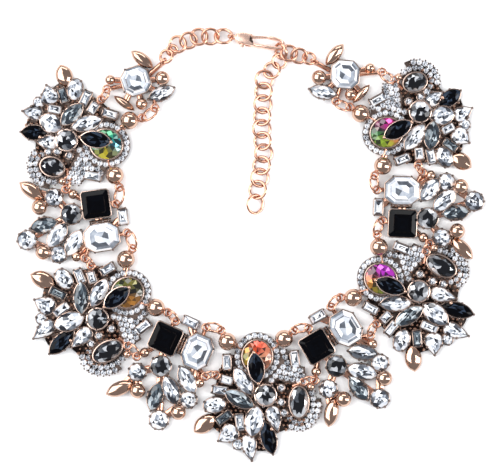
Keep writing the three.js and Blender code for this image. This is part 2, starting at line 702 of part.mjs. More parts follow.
// The hub ring hangs in the clasp's hook, and both chains pass through it
const hookHole = 0.87;
const hubHeading = -70;
const hubCentre = vec(hookHole * claspLength, 0).applyMatrix4(claspFrame)
  .addScaledVector(direction(hubHeading), hubRing / 2)
  .setZ((hubRing / 2) * Math.sin(radians(steepRoll)) + wire / 2);
const hub = { centre: hubCentre, heading: direction(hubHeading), roll: steepRoll, diameter: hubRing };
const insideHub = (along, across) => vec(along, across).multiplyScalar(hubRing)
  .applyMatrix4(rolledFrame(hub.centre, hub.heading, hub.roll));
const rightStart = insideHub(0.18, 0.12);
const rightLinks = chainOf(rightStart, rightRoute.map((p) => between(rightStart, rightEye, p)),
  rightEye);

// The extension's route is in millimetres from the hub
const fromHub = ([x, y]) => hub.centre.clone().setZ(eyeLevel).add(vec(x, y));
const extensionLinks = chainOf(insideHub(0.18, -0.14), extensionRoute.map(fromHub),
  fromHub(extensionEnd), endRingShare);

// Castings and their loose stones
const counts = {};
for (const [i, piece] of order.entries()) {
  let built;
  if (piece.kind === 'rosette') built = rosette(piece.fan);
  if (piece.kind === 'bar') built = bar(piece.fan);
  if (piece.kind === 'link') {
    const neighbour = order[i + piece.hand];
    const own = eyesAt(piece, 'left')[1];
    const theirs = eyesAt(neighbour, piece.hand > 0 ? 'left' : 'right')[1];
    const ring = piece.hand > 0 ? jointRing(own, theirs) : jointRing(theirs, own);
    const chained = piece.hand > 0 ? leftLinks[0] : rightLinks[rightLinks.length - 1];
    const heading = turned(chained.heading, -piece.turn);
    built = endLink(piece.hand, intoPiece(ring, piece), { heading, roll: chained.roll });
  }
  addMesh(meshOf(built.body, piece.name, castGold), piece);
  for (const main of built.mains) {
    counts[main.row.name] = (counts[main.row.name] ?? 0) + 1;
    const name = `${main.row.name}_${counts[main.row.name]}`;
    addMesh(meshOf(solid(main.gem), name, main.row.look), piece);
  }
}

// Jump rings, numbered from the left. The end links' outer rings belong to those links.
let ringNumber = 0;
for (let i = 0; i + 1 < order.length; i++) {
  const from = eyesAt(order[i], 'right');
  const to = eyesAt(order[i + 1], 'left');
  const atEnd = order[i].kind === 'link' || order[i + 1].kind === 'link';
  for (let k = 0; k < (atEnd ? 1 : 2); k++) {
    ringNumber += 1;
    addMesh(meshOf(solid(jointRing(from[k], to[k])), `jump_ring_${ringNumber}`, roseGold));
  }
}

addMesh(meshOf(chainSolid(leftLinks), 'neck_chain_left', roseGold));
addMesh(meshOf(chainSolid([hub, ...rightLinks]), 'neck_chain_right', roseGold));
addMesh(meshOf(chainSolid(extensionLinks), 'extension_chain', roseGold));

// Lobster clasp. Points are shares of its length and width, from its eye. The neck grips the eye's
// rim, however long the clasp is.
const neckShare = claspNeck / claspLength;
const hookOutline = [
  [neckShare, -0.16], [0.16, -0.42], [0.34, -0.5], [0.84, -0.5], [0.96, -0.3], [1, 0], [0.96, 0.3],
  [0.84, 0.5], [0.68, 0.5], [0.66, 0.3], [0.86, 0.26], [0.93, 0.2], [0.93, -0.2],
  [0.86, -0.24], [0.44, -0.26], [0.36, -0.16], [0.36, 0.44], [0.24, 0.5], [0.12, 0.34],
  [neckShare, 0.16],
];
const cheekOutline = [
  [0.1, -0.34], [0.2, -0.44], [0.42, -0.5], [0.42, -0.24], [0.36, -0.1], [0.36, 0.44], [0.2, 0.46],
  [0.1, 0.34],
];
const leverOutline = [
  [0.17, 0], [0.2, -0.15], [0.17, -0.6], [0.2, -0.7], [0.25, -0.66], [0.28, -0.2], [0.32, 0],
  [0.44, 0.17], [0.645, 0.29], [0.645, 0.44], [0.42, 0.37], [0.24, 0.23], [0.19, 0.16],
];
const slot = [[0.13, -1], [0.36, -1], [0.36, 1], [0.13, 1]];
const pivot = [0.24, 0];

function slab(points, thickness) {
  const shape = new THREE.Shape(points.map(([x, y]) =>
    new THREE.Vector2(x * claspLength, y * claspWidth)));
  return new THREE.ExtrudeGeometry(shape, { depth: thickness, bevelEnabled: false })
    .translate(0, 0, -thickness / 2);
}
const pinOf = (diameter, length) => new THREE.CylinderGeometry(diameter / 2, diameter / 2, length, 10)
  .rotateX(Math.PI / 2).translate(pivot[0] * claspLength, pivot[1] * claspWidth, 0);
const claspSolid = joined([slab(hookOutline, hookThickness), slab(cheekOutline, cheekThickness),
  eyeAt(vec(0, 0), vec(1, 0), claspEyeRoll)].map(solid))
  .subtract(solid(slab(slot, leverThickness + 2 * gap)))
  .add(solid(pinOf(pinDiameter, cheekThickness)));
const leverSolid = solid(slab(leverOutline, leverThickness))
  .subtract(solid(pinOf(pinDiameter + 2 * gap, cheekThickness)));
for (const [body, name] of [[claspSolid, 'clasp_body'], [leverSolid, 'clasp_lever']]) {
  const mesh = meshOf(body, name, roseGold);
  mesh.applyMatrix4(claspFrame);
  addMesh(mesh);
}

// The origin is under the middle of the whole necklace
group.updateMatrixWorld(true);
const box = new THREE.Box3().setFromObject(group, true);
const middle = box.getCenter(vec(0, 0, 0));
group.position.set(-middle.x, -middle.y, -box.min.z);

export default group;
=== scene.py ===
import math

import bmesh
import bpy
import numpy as np
from mathutils import Matrix, Vector


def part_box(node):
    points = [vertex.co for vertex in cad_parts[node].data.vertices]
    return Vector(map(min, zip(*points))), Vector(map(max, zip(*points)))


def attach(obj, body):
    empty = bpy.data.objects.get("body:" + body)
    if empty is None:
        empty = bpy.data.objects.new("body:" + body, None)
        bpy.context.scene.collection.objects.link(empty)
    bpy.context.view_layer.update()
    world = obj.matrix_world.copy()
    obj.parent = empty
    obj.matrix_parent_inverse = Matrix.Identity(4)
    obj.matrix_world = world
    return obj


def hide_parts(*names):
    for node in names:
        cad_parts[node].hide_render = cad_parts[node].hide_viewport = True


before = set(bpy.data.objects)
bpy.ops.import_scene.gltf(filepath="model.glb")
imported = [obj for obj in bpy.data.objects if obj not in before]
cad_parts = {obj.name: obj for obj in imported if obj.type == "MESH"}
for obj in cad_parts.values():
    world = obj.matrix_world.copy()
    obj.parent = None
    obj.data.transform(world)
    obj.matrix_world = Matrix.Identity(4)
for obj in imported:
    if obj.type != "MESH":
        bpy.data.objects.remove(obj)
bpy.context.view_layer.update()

# Lengths are in millimetres until a mesh is made
MM = 0.001

# Reach of each casting from its middle stone
rosette_reach = 25
bar_reach = 35
link_reach = 17

# Cut stones: length, width
sizes = {
    "marquise": (13.2, 6.6),
    "pear": (10.8, 6.2),
    "baguette": (7, 3.5),
    "oval": (9.2, 6.4),
    "chaton": (7.2, 7.2),
    "speck": (7.2, 7.2),
    "bullet": (11.6, 7),
    "round": (8.6, 8.6),
}
rainbow_oval = (13.4, 12.4)
centre_round = (8.6, 8.6)
hematite_oval = (13, 7.8)
black_square = (11.6, 11.6)
clear_octagon = (14.4, 11.6)
end_octagon = (11.6, 11.6)
crown = 1.5
small_crown = 1.2
pavilion = 2.0
small_pavilion = 1.6
pave_stone = 2.35

# Settings
back_thickness = 1.4
girdle_level = 3.0
bezel_grip = 0.5
bezel_wall = 0.55
setting_height = 2.7
seat_plate = 0.8
lip_rise = 0.3
petal_rise = 2.3
petal_sink = 0.6
thin_wall = 0.35
halo_width = 3.0
halo_height = 2.6
halo_reach = 10.6
plate_reach = 26
bead = 1.35
pave_bead = 0.8
bead_height = 1.2
filler_bead = 1.2
filler_spacing = 1.9
arm_width = 2.4
bar_rib = 3.2
centre_lift = 1.9
big_lift = 0.4

# Balls
big_ball = 7.6
middle_ball = 6.6
link_ball = 6.2
end_ball = 5.0
small_ball = 4.2

# Wire, rings and eyes
wire = 1.1
polished_wire = 1.3
jump_wire = 1.05
eye_hole = 2.6
eye_wall = 0.45
eye_wire = 0.9
eye_thickness = 0.6
eye_level = 2.9
ring_fill = 0.92
ring_lean = 58
chain_link = 5.9
end_ring_share = 1.3
link_growth = 1.3
link_lie = 0.42
link_sink = 0.4
hub_ring = 6.4
flat_roll = -35
steep_roll = 50
gap = 0.3

# Lobster clasp
clasp_length = 22.6
clasp_width = 5.5
cheek_half = 1.6
cheek_top = 1.9
hook_half = 1.25
slot_half = 0.9
lever_half = 0.6
pin_radius = 0.6
clasp_roll = -12
clasp_heading = -9
clasp_eye_roll = 62


# Vectors and frames

def vec(x, y, z=0.0):
    return np.array([x, y, z], float)


def unit(v):
    return v / np.linalg.norm(v)


def direction(degrees):
    a = math.radians(degrees)
    return vec(math.cos(a), math.sin(a))


def turned(points, degrees):
    """Points turned about the vertical."""
    a = math.radians(degrees)
    c, s = math.cos(a), math.sin(a)
    turn = np.array([[c, s, 0], [-s, c, 0], [0, 0, 1]])
    return np.asarray(points, float) @ turn


def rolled_frame(centre, heading, roll):
    """Columns: along the heading, rolled up from the ground, and the normal of the two."""
    along = unit(heading)
    level = unit(np.cross(vec(0, 0, 1), along))
    upward = np.cross(along, level)
    a = math.radians(roll)
    rolled = level * math.cos(a) + upward * math.sin(a)
    turn = np.stack([along, rolled, np.cross(along, rolled)], axis=1)
    return turn, np.array(centre, float)


def moved(points, placing):
    """Points carried into a rolled frame."""
    turn, centre = placing
    return np.asarray(points, float) @ turn.T + centre


def euler(turn):
    return np.array(Matrix(turn.tolist()).to_euler("XYZ"))


# Outlines with unit length and width, anticlockwise from the tip at +X

def arc_angles(count):
    return np.arange(count) * 2 * math.pi / count


def oval_outline(count):
    a = arc_angles(count)
    return np.stack([0.5 * np.cos(a), 0.5 * np.sin(a)], axis=1)


def marquise_outline(count):
    a = arc_angles(count)
    x = 0.5 * np.cos(a)
    y = 0.5 * np.sign(np.sin(a)) * (1 - np.abs(2 * x) ** 2.5) ** 0.95
    y[np.abs(np.sin(a)) < 1e-9] = 0
    return np.stack([x, y], axis=1)


def pear_outline(count):
    a = arc_angles(count)
    x = 0.5 * np.cos(a)
    y = np.sin(a) * np.abs(np.sin(a / 2)) ** 1.1
    return np.stack([x, 0.5 * y / np.max(np.abs(y))], axis=1)


def cut_corner_outline(cut_x, cut_y):
    return np.array([
        [0.5, 0.5 - cut_y], [0.5 - cut_x, 0.5], [-0.5 + cut_x, 0.5], [-0.5, 0.5 - cut_y],
        [-0.5, -0.5 + cut_y], [-0.5 + cut_x, -0.5], [0.5 - cut_x, -0.5], [0.5, -0.5 + cut_y],
    ])


def grown(points, growth):
    """An outline at its real size, moved outwards evenly."""
    before = points - np.roll(points, 1, axis=0)
    after = np.roll(points, -1, axis=0) - points
    normals = []
    for edge in (before, after):
        edge = edge / np.linalg.norm(edge, axis=1, keepdims=True)
        normals.append(np.stack([edge[:, 1], -edge[:, 0]], axis=1))
    bisector = normals[0] + normals[1]
    bisector /= np.linalg.norm(bisector, axis=1, keepdims=True)
    stretch = np.maximum(np.sum(bisector * normals[0], axis=1, keepdims=True), 0.5)
    return points + bisector * growth / stretch


def with_height(points, z):
    return np.column_stack([points, np.full(len(points), float(z))])


def smooth_loop(points, steps):
    """Closed curve through a few points."""
    points = np.asarray(points, float)
    out = []
    count = len(points)
    for i in range(count):
        p0, p1, p2, p3 = (points[(i + k) % count] for k in (-1, 0, 1, 2))
        for t in np.arange(steps) / steps:
            out.append(0.5 * (2 * p1 + (p2 - p0) * t + (2 * p0 - 5 * p1 + 4 * p2 - p3) * t ** 2
                              + (3 * p1 - p0 - 3 * p2 + p3) * t ** 3))
    return np.array(out)


# Solids as points and faces

def loft(rings, wrap=False):
    """Rings of points joined into one closed surface. A wrapped one closes on its first ring."""
    sides = len(rings[0])
    count = len(rings)
    faces = []
    for r in range(count if wrap else count - 1):
        for i in range(sides):
            j = (i + 1) % sides
            low, high = r * sides, ((r + 1) % count) * sides
            faces.append((low + i, low + j, high + j, high + i))
    if not wrap:
        faces.append(tuple(range(sides - 1, -1, -1)))
        faces.append(tuple((count - 1) * sides + i for i in range(sides)))
    return np.concatenate(rings), faces


def brilliant(outline, length, width, height, table=0.56, depth=pavilion):
    """Crown with stars, kites and girdle triangles, and a flat table cut into wedges whose
    painted tones stand in for the pavilion's facets. The outline has an even number of points."""
    size = np.array([length, width])
    girdle = outline * size
    count = len(outline)
    half = count // 2
    top = girdle[0::2] * table
    middle = girdle[1::2] * (0.52 + 0.48 * table) * 1.02
    inner = girdle[1::2] * table * 0.45
    points = np.concatenate([
        with_height(girdle, 0), with_height(middle, 0.58 * height), with_height(top, height),
        with_height(inner, height), [[0, 0, height]], [[0, 0, -depth]],
    ])
    mid, tab, core = count, count + half, count + 2 * half
    centre, culet = count + 3 * half, count + 3 * half + 1
    faces = []
    for k in range(half):
        n = (k + 1) % half
        g0, g1, g2 = 2 * k, 2 * k + 1, (2 * k + 2) % count
        faces += [
            (tab + k, mid + k, tab + n),
            (tab + k, mid + (k - 1) % half, g0, mid + k),
            (mid + k, g0, g1),
            (mid + k, g1, g2),
            (tab + k, tab + n, core + k),
            (tab + n, core + n, core + k),
            (core + k, core + n, centre),
            (g1, g0, culet),
            (g2, g1, culet),
        ]
    return points, faces


# Faces that brilliant() makes for every second side of its outline
wedge_faces = 9


def brilliant_tones(faces, draw, plain_table):
    """Painted reflections. A kite shares its tone with the girdle triangles beside it. A plain
    table is painted dark, with a painted bright reflection over two of its wedges."""
    tones = draw.random(len(faces))
    wedges = len(faces) // wedge_faces
    bright_from = draw.integers(0, wedges)
    for wedge in range(wedges):
        k = wedge * wedge_faces
        tones[k + 2] = tones[k + 3] = tones[k + 1]
        if plain_table:
            tones[k + 1] = tones[k + 2] = tones[k + 3] = draw.choice([0.1, 0.35, 0.6, 0.82, 0.97])
            # Painted reflection: two neighbouring wedges of the table are painted bright
            lit = (wedge - bright_from) % wedges < 2
            tones[k + 4:k + 7] = draw.choice([0.75, 0.97]) if lit else 0.35
    return tones


def octagon_tones(faces, draw):
    """Painted reflections: a pale crown, and a table split into a few broad sectors of strong
    contrast.
    """
    tones = draw.choice([0.34, 0.46, 0.56, 0.75, 0.95], len(faces))
    per_side = len(faces) // 8
    sectors = [0.2, 0.6, 0.95, 0.45]
    inner = [0.6, 0.26, 0.5, 0.97]
    for side in range(8):
        first = side * per_side
        tones[first + 2] = draw.choice([0.3, 0.45, 0.75])
        tones[first + 3] = sectors[(side // 2 + 2) % 4]
        tones[first + 4:first + 6] = inner[((side + 1) // 2 + 1) % 4]
    return tones


def step_cut(outline, length, width, height, shares=(1, 0.86, 0.72, 0.6), depth=pavilion):
    """Crown of straight steps, and a flat table cut into rings whose painted tones stand in for
    the pavilion's steps.
    """
    girdle = outline * np.array([length, width])
    count = len(outline)
    rises = np.linspace(0, 1, len(shares)) ** 0.75
    rings = [with_height(girdle * s, height * r) for s, r in zip(shares, rises)]
    table = shares[-1]
    rings += [with_height(girdle * table * s, height) for s in (0.62, 0.3)]
    points = np.concatenate(rings + [[[0, 0, height]], [[0, 0, -depth]]])
    centre, culet = len(points) - 2, len(points) - 1
    faces = []
    for i in range(count):
        j = (i + 1) % count
        for r in range(len(rings) - 1):
            low, high = r * count, (r + 1) * count
            faces.append((low + i, low + j, high + j, high + i))
        last = (len(rings) - 1) * count
        faces.append((last + i, last + j, centre))
        faces.append((j, i, culet))
    return points, faces


def dome(outline, length, width, height, rings=7):
    """Smooth cushion that rises to a ridge between its tips."""
    size = np.array([length, width])
    out = [with_height(outline * size * 0.94, -height * 0.5), with_height(outline * size, 0)]
    for k in range(1, rings):
        a = math.pi / 2 * k / rings
        share = np.array([math.cos(a) * 0.55 + 0.45 * math.cos(a) ** 0.5, math.cos(a)])
        out.append(with_height(outline * size * share, height * math.sin(a)))
    return loft(out)


def wall(outline, top, thick, grip=0.14):
    """Bezel: a wall from the back to a rounded lip that leans over the stone."""
    profile = [
        (thick, 0), (thick, top - 0.3), (thick * 0.8, top - 0.08), (thick * 0.35, top),
        (-grip * 0.5, top - 0.02), (-grip, top - 0.14), (0.03, top - 0.4), (0.03, 0),
    ]
    return loft([with_height(grown(outline, g), z) for g, z in profile], wrap=True)


def slab(outline, low, high, bevel=0.15):
    """Flat plate with softened edges."""
    return loft([
        with_height(grown(outline, -bevel), low), with_height(outline, low + bevel),
        with_height(outline, high - bevel), with_height(grown(outline, -bevel), high),
    ])


def rod(start, end, width, low, high):
    """Rib with a rounded back between two places."""
    run = np.asarray(end, float)[:2] - np.asarray(start, float)[:2]
    along = run / np.linalg.norm(run)
    across = np.array([-along[1], along[0]])
    section = [(-0.5, 0), (-0.5, 0.6), (-0.34, 0.88), (0, 1), (0.34, 0.88), (0.5, 0.6), (0.5, 0)]
    rings = []
    for p in (np.asarray(start, float)[:2], np.asarray(end, float)[:2]):
        rings.append(np.array([
            [*(p + across * width * s), low + (high - low) * h] for s, h in section]))
    return loft(rings)


class Shape:
    """Collects solids, in millimetres, into one mesh."""

    def __init__(self):
        self.points = []
        self.faces = []
        self.finishes = []
        self.facets = []
        self.colours = []
        self.count = 0

    def add(self, solid, finish=0, facets=None, colours=None):
        points, faces = solid
        self.points.append(np.asarray(points, float))
        self.faces += [tuple(i + self.count for i in f) for f in faces]
        self.finishes += [finish] * len(faces)
        self.facets += list(facets) if facets is not None else [0.5] * len(faces)
        self.colours += list(colours) if colours is not None else [(0.5, 0.5, 0.5)] * len(faces)
        self.count += len(points)

    def make(self, name, materials, smooth=True):
        mesh = bpy.data.meshes.new(name)
        mesh.from_pydata((np.concatenate(self.points) * MM).tolist(), [], self.faces)
        for material in materials:
            mesh.materials.append(material)
        mesh.polygons.foreach_set("material_index", self.finishes)
        facet = mesh.attributes.new("facet", "FLOAT", "FACE")
        facet.data.foreach_set("value", np.array(self.facets, np.float32))
        colour = mesh.attributes.new("glow", "FLOAT_COLOR", "FACE")
        rgba = np.column_stack([np.array(self.colours), np.ones(len(self.colours))])
        colour.data.foreach_set("color", rgba.astype(np.float32).ravel())
        outwards(mesh, smooth)
        return shown(name, mesh)


def outwards(mesh, smooth):
    """Faces point outwards, and a smooth mesh keeps its sharp edges."""
    bm = bmesh.new()
    bm.from_mesh(mesh)
    bmesh.ops.recalc_face_normals(bm, faces=bm.faces)
    for face in bm.faces:
        face.smooth = smooth
    for edge in bm.edges:
        if len(edge.link_faces) == 2 and edge.calc_face_angle() > 0.75:
            edge.smooth = False
    bm.to_mesh(mesh)
    bm.free()


def shown(name, mesh):
    piece = bpy.data.objects.new(name, mesh)
    bpy.context.scene.collection.objects.link(piece)
    return piece


def dress(piece, slot, *nodes, body="necklace"):
    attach(piece, body)
    if nodes:
        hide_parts(*nodes)
    return piece


# Materials

class Num:
    """A socket of numbers, so that shader maths reads as plain arithmetic."""

    def __init__(self, finish, socket):
        self.finish = finish
        self.socket = socket

    def _maths(self, kind, first, second):
        return self.finish.node("ShaderNodeMath", {"operation": kind}, {0: first, 1: second})

    def __add__(self, other):
        return self._maths("ADD", self, other)

    __radd__ = __add__

    def __sub__(self, other):
        return self._maths("SUBTRACT", self, other)

    def __rsub__(self, other):
        return self._maths("SUBTRACT", other, self)

    def __mul__(self, other):
        return self._maths("MULTIPLY", self, other)

    __rmul__ = __mul__


class Finish:
    """One material and its nodes."""

    def __init__(self, name):
        self.material = bpy.data.materials.new(name)
        self.material.use_nodes = True
        self.material.node_tree.nodes.clear()

    def node(self, kind, settings=None, values=None, out=0):
        made = self.material.node_tree.nodes.new(kind)
        for key, value in (settings or {}).items():
            if key == "stops":
                ramp = made.color_ramp
                while len(ramp.elements) < len(value):
                    ramp.elements.new(0.5)
                for element, (place, colour) in zip(ramp.elements, value):
                    element.position = place
                    element.color = (*colour, 1)
            else:
                setattr(made, key, value)
        for key, value in (values or {}).items():
            if isinstance(value, Num):
                self.material.node_tree.links.new(value.socket, made.inputs[key])
            else:
                made.inputs[key].default_value = value
        return Num(self, made.outputs[out])

    def place(self):
        return self.node("ShaderNodeTexCoord", out="Object")

    def noise(self, scale, detail=2.0):
        values = {"Vector": self.place(), "Scale": scale, "Detail": detail}
        return self.node("ShaderNodeTexNoise", values=values, out="Fac")

    def ramp(self, factor, stops):
        return self.node("ShaderNodeValToRGB", {"stops": stops}, {"Fac": factor}, "Color")

    def height(self):
        return self.node("ShaderNodeSeparateXYZ", values={0: self.place()}, out="Z")

    def attribute(self, name):
        return self.node("ShaderNodeAttribute", {"attribute_name": name}, out="Fac")

    def surface(self, **inputs):
        values = {key.replace("_", " "): value for key, value in inputs.items()}
        shader = self.node("ShaderNodeBsdfPrincipled", values=values, out="BSDF")
        end = self.material.node_tree.nodes.new("ShaderNodeOutputMaterial")
        self.material.node_tree.links.new(shader.socket, end.inputs["Surface"])
        return self.material


def metal(name, low, high, roughness, painted_shade_depth=0.0, top=0.006, shade=0.25):
    """Plated metal: its tone wanders a little, and its low parts can be painted darker by their
    height, as painted shade between the stones.
    """
    finish = Finish(name)
    wander = finish.noise(260) * 0.35
    if painted_shade_depth:
        # Painted shade: the lower the metal lies, the darker its colour
        lit_by_height = finish.height() * (painted_shade_depth / top)
        tone = lit_by_height + wander + (0.8 - painted_shade_depth)
    else:
        tone = wander + 0.62
    colour = finish.ramp(tone, [(shade, low), (0.9, high)])
    rough = finish.noise(900) * 0.1 + (roughness - 0.05)
    return finish.surface(Base_Color=colour, Metallic=1.0, Roughness=rough)


bright_gold = metal("bright_rose_gold", (0.22, 0.1, 0.07), (0.68, 0.38, 0.27), 0.17)
# Rose gold of the clasp, painted lighter than the rest as a stand-in for its highlights
lightened_clasp_gold = metal("polished_rose_gold", (0.5, 0.29, 0.21), (0.95, 0.66, 0.53), 0.28)
ball_gold = metal("brown_rose_gold", (0.26, 0.15, 0.11), (0.6, 0.4, 0.3), 0.1)
# Cast metal with painted shade, almost black where it lies low between the stones
cast_gold = metal("cast_rose_gold", (0.016, 0.011, 0.01), (0.8, 0.6, 0.5), 0.24, painted_shade_depth=0.7,
                  shade=0.42)
prong_metal = metal("dark_prong_metal", (0.1, 0.08, 0.075), (0.42, 0.34, 0.3), 0.16)


def stone(name, stops, metallic, roughness, coat=1.0, gloss=0.5):
    """Cut glass on foil, drawn opaque: each facet has its own painted tone, which stands in for
    the light and reflections the real stone throws back.
    """
    finish = Finish(name)
    # Painted reflections: the facet's tone, the stone's random tint and a little noise pick the
    # colour
    tone = finish.attribute("facet") + finish.attribute("tint")
    tone = tone + (finish.noise(420, 1.0) - 0.5) * 0.25
    colour = finish.ramp(tone, stops)
    return finish.surface(Base_Color=colour, Metallic=metallic, Roughness=roughness,
                          Specular_IOR_Level=gloss, Coat_Weight=coat, Coat_Roughness=0.02)


# Each ramp runs from painted dark facets to painted bright reflections
clear_glass = stone("clear_foiled_glass", [
    (0.08, (0.012, 0.014, 0.02)), (0.28, (0.11, 0.125, 0.15)), (0.46, (0.36, 0.4, 0.46)),
    (0.64, (0.8, 0.83, 0.88)), (1.0, (1.0, 1.0, 1.0)),
], 0.2, 0.12)
hematite_glass = stone("hematite_glass", [
    (0.0, (0.002, 0.002, 0.003)), (0.5, (0.008, 0.009, 0.012)), (0.75, (0.06, 0.07, 0.085)),
    (1.0, (0.75, 0.77, 0.8)),
], 0.5, 0.08, coat=0.3)
black_glass = stone("black_glass", [
    (0.0, (0.0005, 0.0005, 0.001)), (0.7, (0.001, 0.0015, 0.003)), (1.0, (0.03, 0.045, 0.07)),
], 0.0, 0.06, coat=0.0, gloss=0.1)
grey_glass = stone("slate_glass", [
    (0.0, (0.004, 0.006, 0.009)), (0.5, (0.03, 0.045, 0.06)), (0.75, (0.13, 0.17, 0.2)),
    (1.0, (0.75, 0.82, 0.85)),
], 0.4, 0.1)


def rainbow_finish():
    finish = Finish("rainbow_glass")
    colour = finish.node("ShaderNodeAttribute", {"attribute_name": "glow"}, out="Color")
    return finish.surface(Base_Color=colour, Metallic=0.45, Roughness=0.1, Coat_Weight=1.0,
                          Coat_Roughness=0.02)


rainbow_glass = rainbow_finish()


# Geometry Nodes

def add_socket(tree, name, kind, way="INPUT"):
    return tree.interface.new_socket(name, in_out=way, socket_type=kind)


def start_tree(name, sockets):
    tree = bpy.data.node_groups.new(name, "GeometryNodeTree")
    add_socket(tree, "Places", "NodeSocketGeometry")
    for label, kind in sockets:
        add_socket(tree, label, kind)
    add_socket(tree, "Geometry", "NodeSocketGeometry", "OUTPUT")
    return tree, tree.nodes.new("NodeGroupInput"), tree.nodes.new("NodeGroupOutput")


def named(tree, attribute):
    made = tree.nodes.new("GeometryNodeInputNamedAttribute")
    made.data_type = "FLOAT_VECTOR"
    made.inputs["Name"].default_value = attribute
    return made.outputs["Attribute"]


def copies_tree():
    """One copy of a small shape at every place, turned and sized by the place's attributes."""
    tree, given, end = start_tree("copies", [("Shape", "NodeSocketObject"),
                                             ("Finish", "NodeSocketMaterial")])
    shape = tree.nodes.new("GeometryNodeObjectInfo")
    put = tree.nodes.new("GeometryNodeInstanceOnPoints")
    real = tree.nodes.new("GeometryNodeRealizeInstances")
    coat = tree.nodes.new("GeometryNodeSetMaterial")
    link = tree.links.new
    link(given.outputs["Shape"], shape.inputs["Object"])
    link(given.outputs["Places"], put.inputs["Points"])
    link(shape.outputs["Geometry"], put.inputs["Instance"])
    link(named(tree, "turn"), put.inputs["Rotation"])
    link(named(tree, "size"), put.inputs["Scale"])
    link(put.outputs["Instances"], real.inputs["Geometry"])
    link(real.outputs["Geometry"], coat.inputs["Geometry"])
    link(given.outputs["Finish"], coat.inputs["Material"])
    link(coat.outputs["Geometry"], end.inputs["Geometry"])
    return tree


def rings_tree():
    """A ring of round wire at every place, with the place's radius and one thickness of wire."""
    tree, given, end = start_tree("wire_rings", [("Wire radius", "NodeSocketFloat"),
                                                 ("Finish", "NodeSocketMaterial")])
    round_path = tree.nodes.new("GeometryNodeCurvePrimitiveCircle")
    round_path.inputs["Resolution"].default_value = 32
    round_path.inputs["Radius"].default_value = 1
    section = tree.nodes.new("GeometryNodeCurvePrimitiveCircle")
    section.inputs["Resolution"].default_value = 10
    put = tree.nodes.new("GeometryNodeInstanceOnPoints")
    paths = tree.nodes.new("GeometryNodeRealizeInstances")
    sweep = tree.nodes.new("GeometryNodeCurveToMesh")
    real = tree.nodes.new("GeometryNodeRealizeInstances")
    coat = tree.nodes.new("GeometryNodeSetMaterial")
    link = tree.links.new
    link(given.outputs["Places"], put.inputs["Points"])
    link(round_path.outputs["Curve"], put.inputs["Instance"])
    link(named(tree, "turn"), put.inputs["Rotation"])
    link(named(tree, "size"), put.inputs["Scale"])
    link(put.outputs["Instances"], paths.inputs["Geometry"])
    link(paths.outputs["Geometry"], sweep.inputs["Curve"])
    link(given.outputs["Wire radius"], section.inputs["Radius"])
    link(section.outputs["Curve"], sweep.inputs["Profile Curve"])
    link(sweep.outputs["Mesh"], real.inputs["Geometry"])
    link(real.outputs["Geometry"], coat.inputs["Geometry"])
    link(given.outputs["Finish"], coat.inputs["Material"])
    link(coat.outputs["Geometry"], end.inputs["Geometry"])
    return tree


trees = {"copies": copies_tree(), "rings": rings_tree()}


def grow(name, tree, places, inputs, smooth):
    """Runs a tree on a cloud of places and keeps the result as one plain mesh. A place is a
    centre, a turn and a size, in millimetres."""
    cloud = bpy.data.meshes.new(name + "_places")
    cloud.from_pydata([list(np.asarray(p[0]) * MM) for p in places], [], [])
    for key, column, factor in (("turn", 1, 1), ("size", 2, MM)):
        attribute = cloud.attributes.new(key, "FLOAT_VECTOR", "POINT")
        values = np.array([np.asarray(p[column], float) * factor for p in places])
        attribute.data.foreach_set("vector", values.astype(np.float32).ravel())
    tint = cloud.attributes.new("tint", "FLOAT", "POINT")
    draw = np.random.default_rng(len(places))
    tint.data.foreach_set("value", (draw.random(len(places)) * 0.5 - 0.25).astype(np.float32))
    holder = shown(name + "_holder", cloud)
    modifier = holder.modifiers.new("grow", "NODES")
    modifier.node_group = tree
    for item in tree.interface.items_tree:
        if item.item_type == "SOCKET" and item.name in inputs:
            modifier[item.identifier] = inputs[item.name]
    graph = bpy.context.evaluated_depsgraph_get()
    mesh = bpy.data.meshes.new_from_object(holder.evaluated_get(graph))
    mesh.name = name
    bpy.data.objects.remove(holder)
    for key in ("turn", "size"):
        if mesh.attributes.get(key):
            mesh.attributes.remove(mesh.attributes[key])
    outwards(mesh, smooth)
    return shown(name, mesh)


def template(name, solid, smooth, seed=None):
    """A small shape of unit size, which the trees copy at every place in its own size."""
    shape = Shape()
    facets = None if seed is None else np.random.default_rng(seed).random(len(solid[1]))
    shape.add((np.asarray(solid[0]) / MM, solid[1]), 0, facets)
    piece = shape.make(name, [], smooth)
    piece.hide_render = True
    return piece


def globe(around, rows):
    rings = []
    for r in range(1, rows):
        a = math.pi * r / rows
        ring = oval_outline(around) * math.sin(a)
        rings.append(with_height(ring, -0.5 * math.cos(a)))
    return loft(rings)


# Castings, from the left end of the chain round to the right end. A narrow copy has its lower
# fan drawn in to the fan share. Hand is -1 for the mirrored end link.
casting_rows = [
    # kind, number, name, turn, fan, hand
    ("link", 1, "end_link_left", 0, 1, 1),
    ("rosette", 1, "rosette_1", -108, 0.78, 1),
    ("bar", 1, "bar_1", -59, 0.95, 1),
    ("rosette", 2, "rosette_2", -61, 1, 1),
    ("bar", 2, "bar_2", -1, 1, 1),
    ("rosette", 3, "rosette_3", 0, 1, 1),
    ("bar", 3, "bar_3", 54, 1, 1),
    ("rosette", 4, "rosette_4", 60, 1, 1),
    ("bar", 4, "bar_4", 111, 0.92, 1),
    ("rosette", 5, "rosette_5", 110, 0.76, 1),
    ("link", 2, "end_link_right", 12, 1, -1),
]
middle_nodes = {"link": "end_octagon", "rosette": "centre_hematite", "bar": "black_square"}
reaches = {"link": link_reach, "rosette": rosette_reach, "bar": bar_reach}


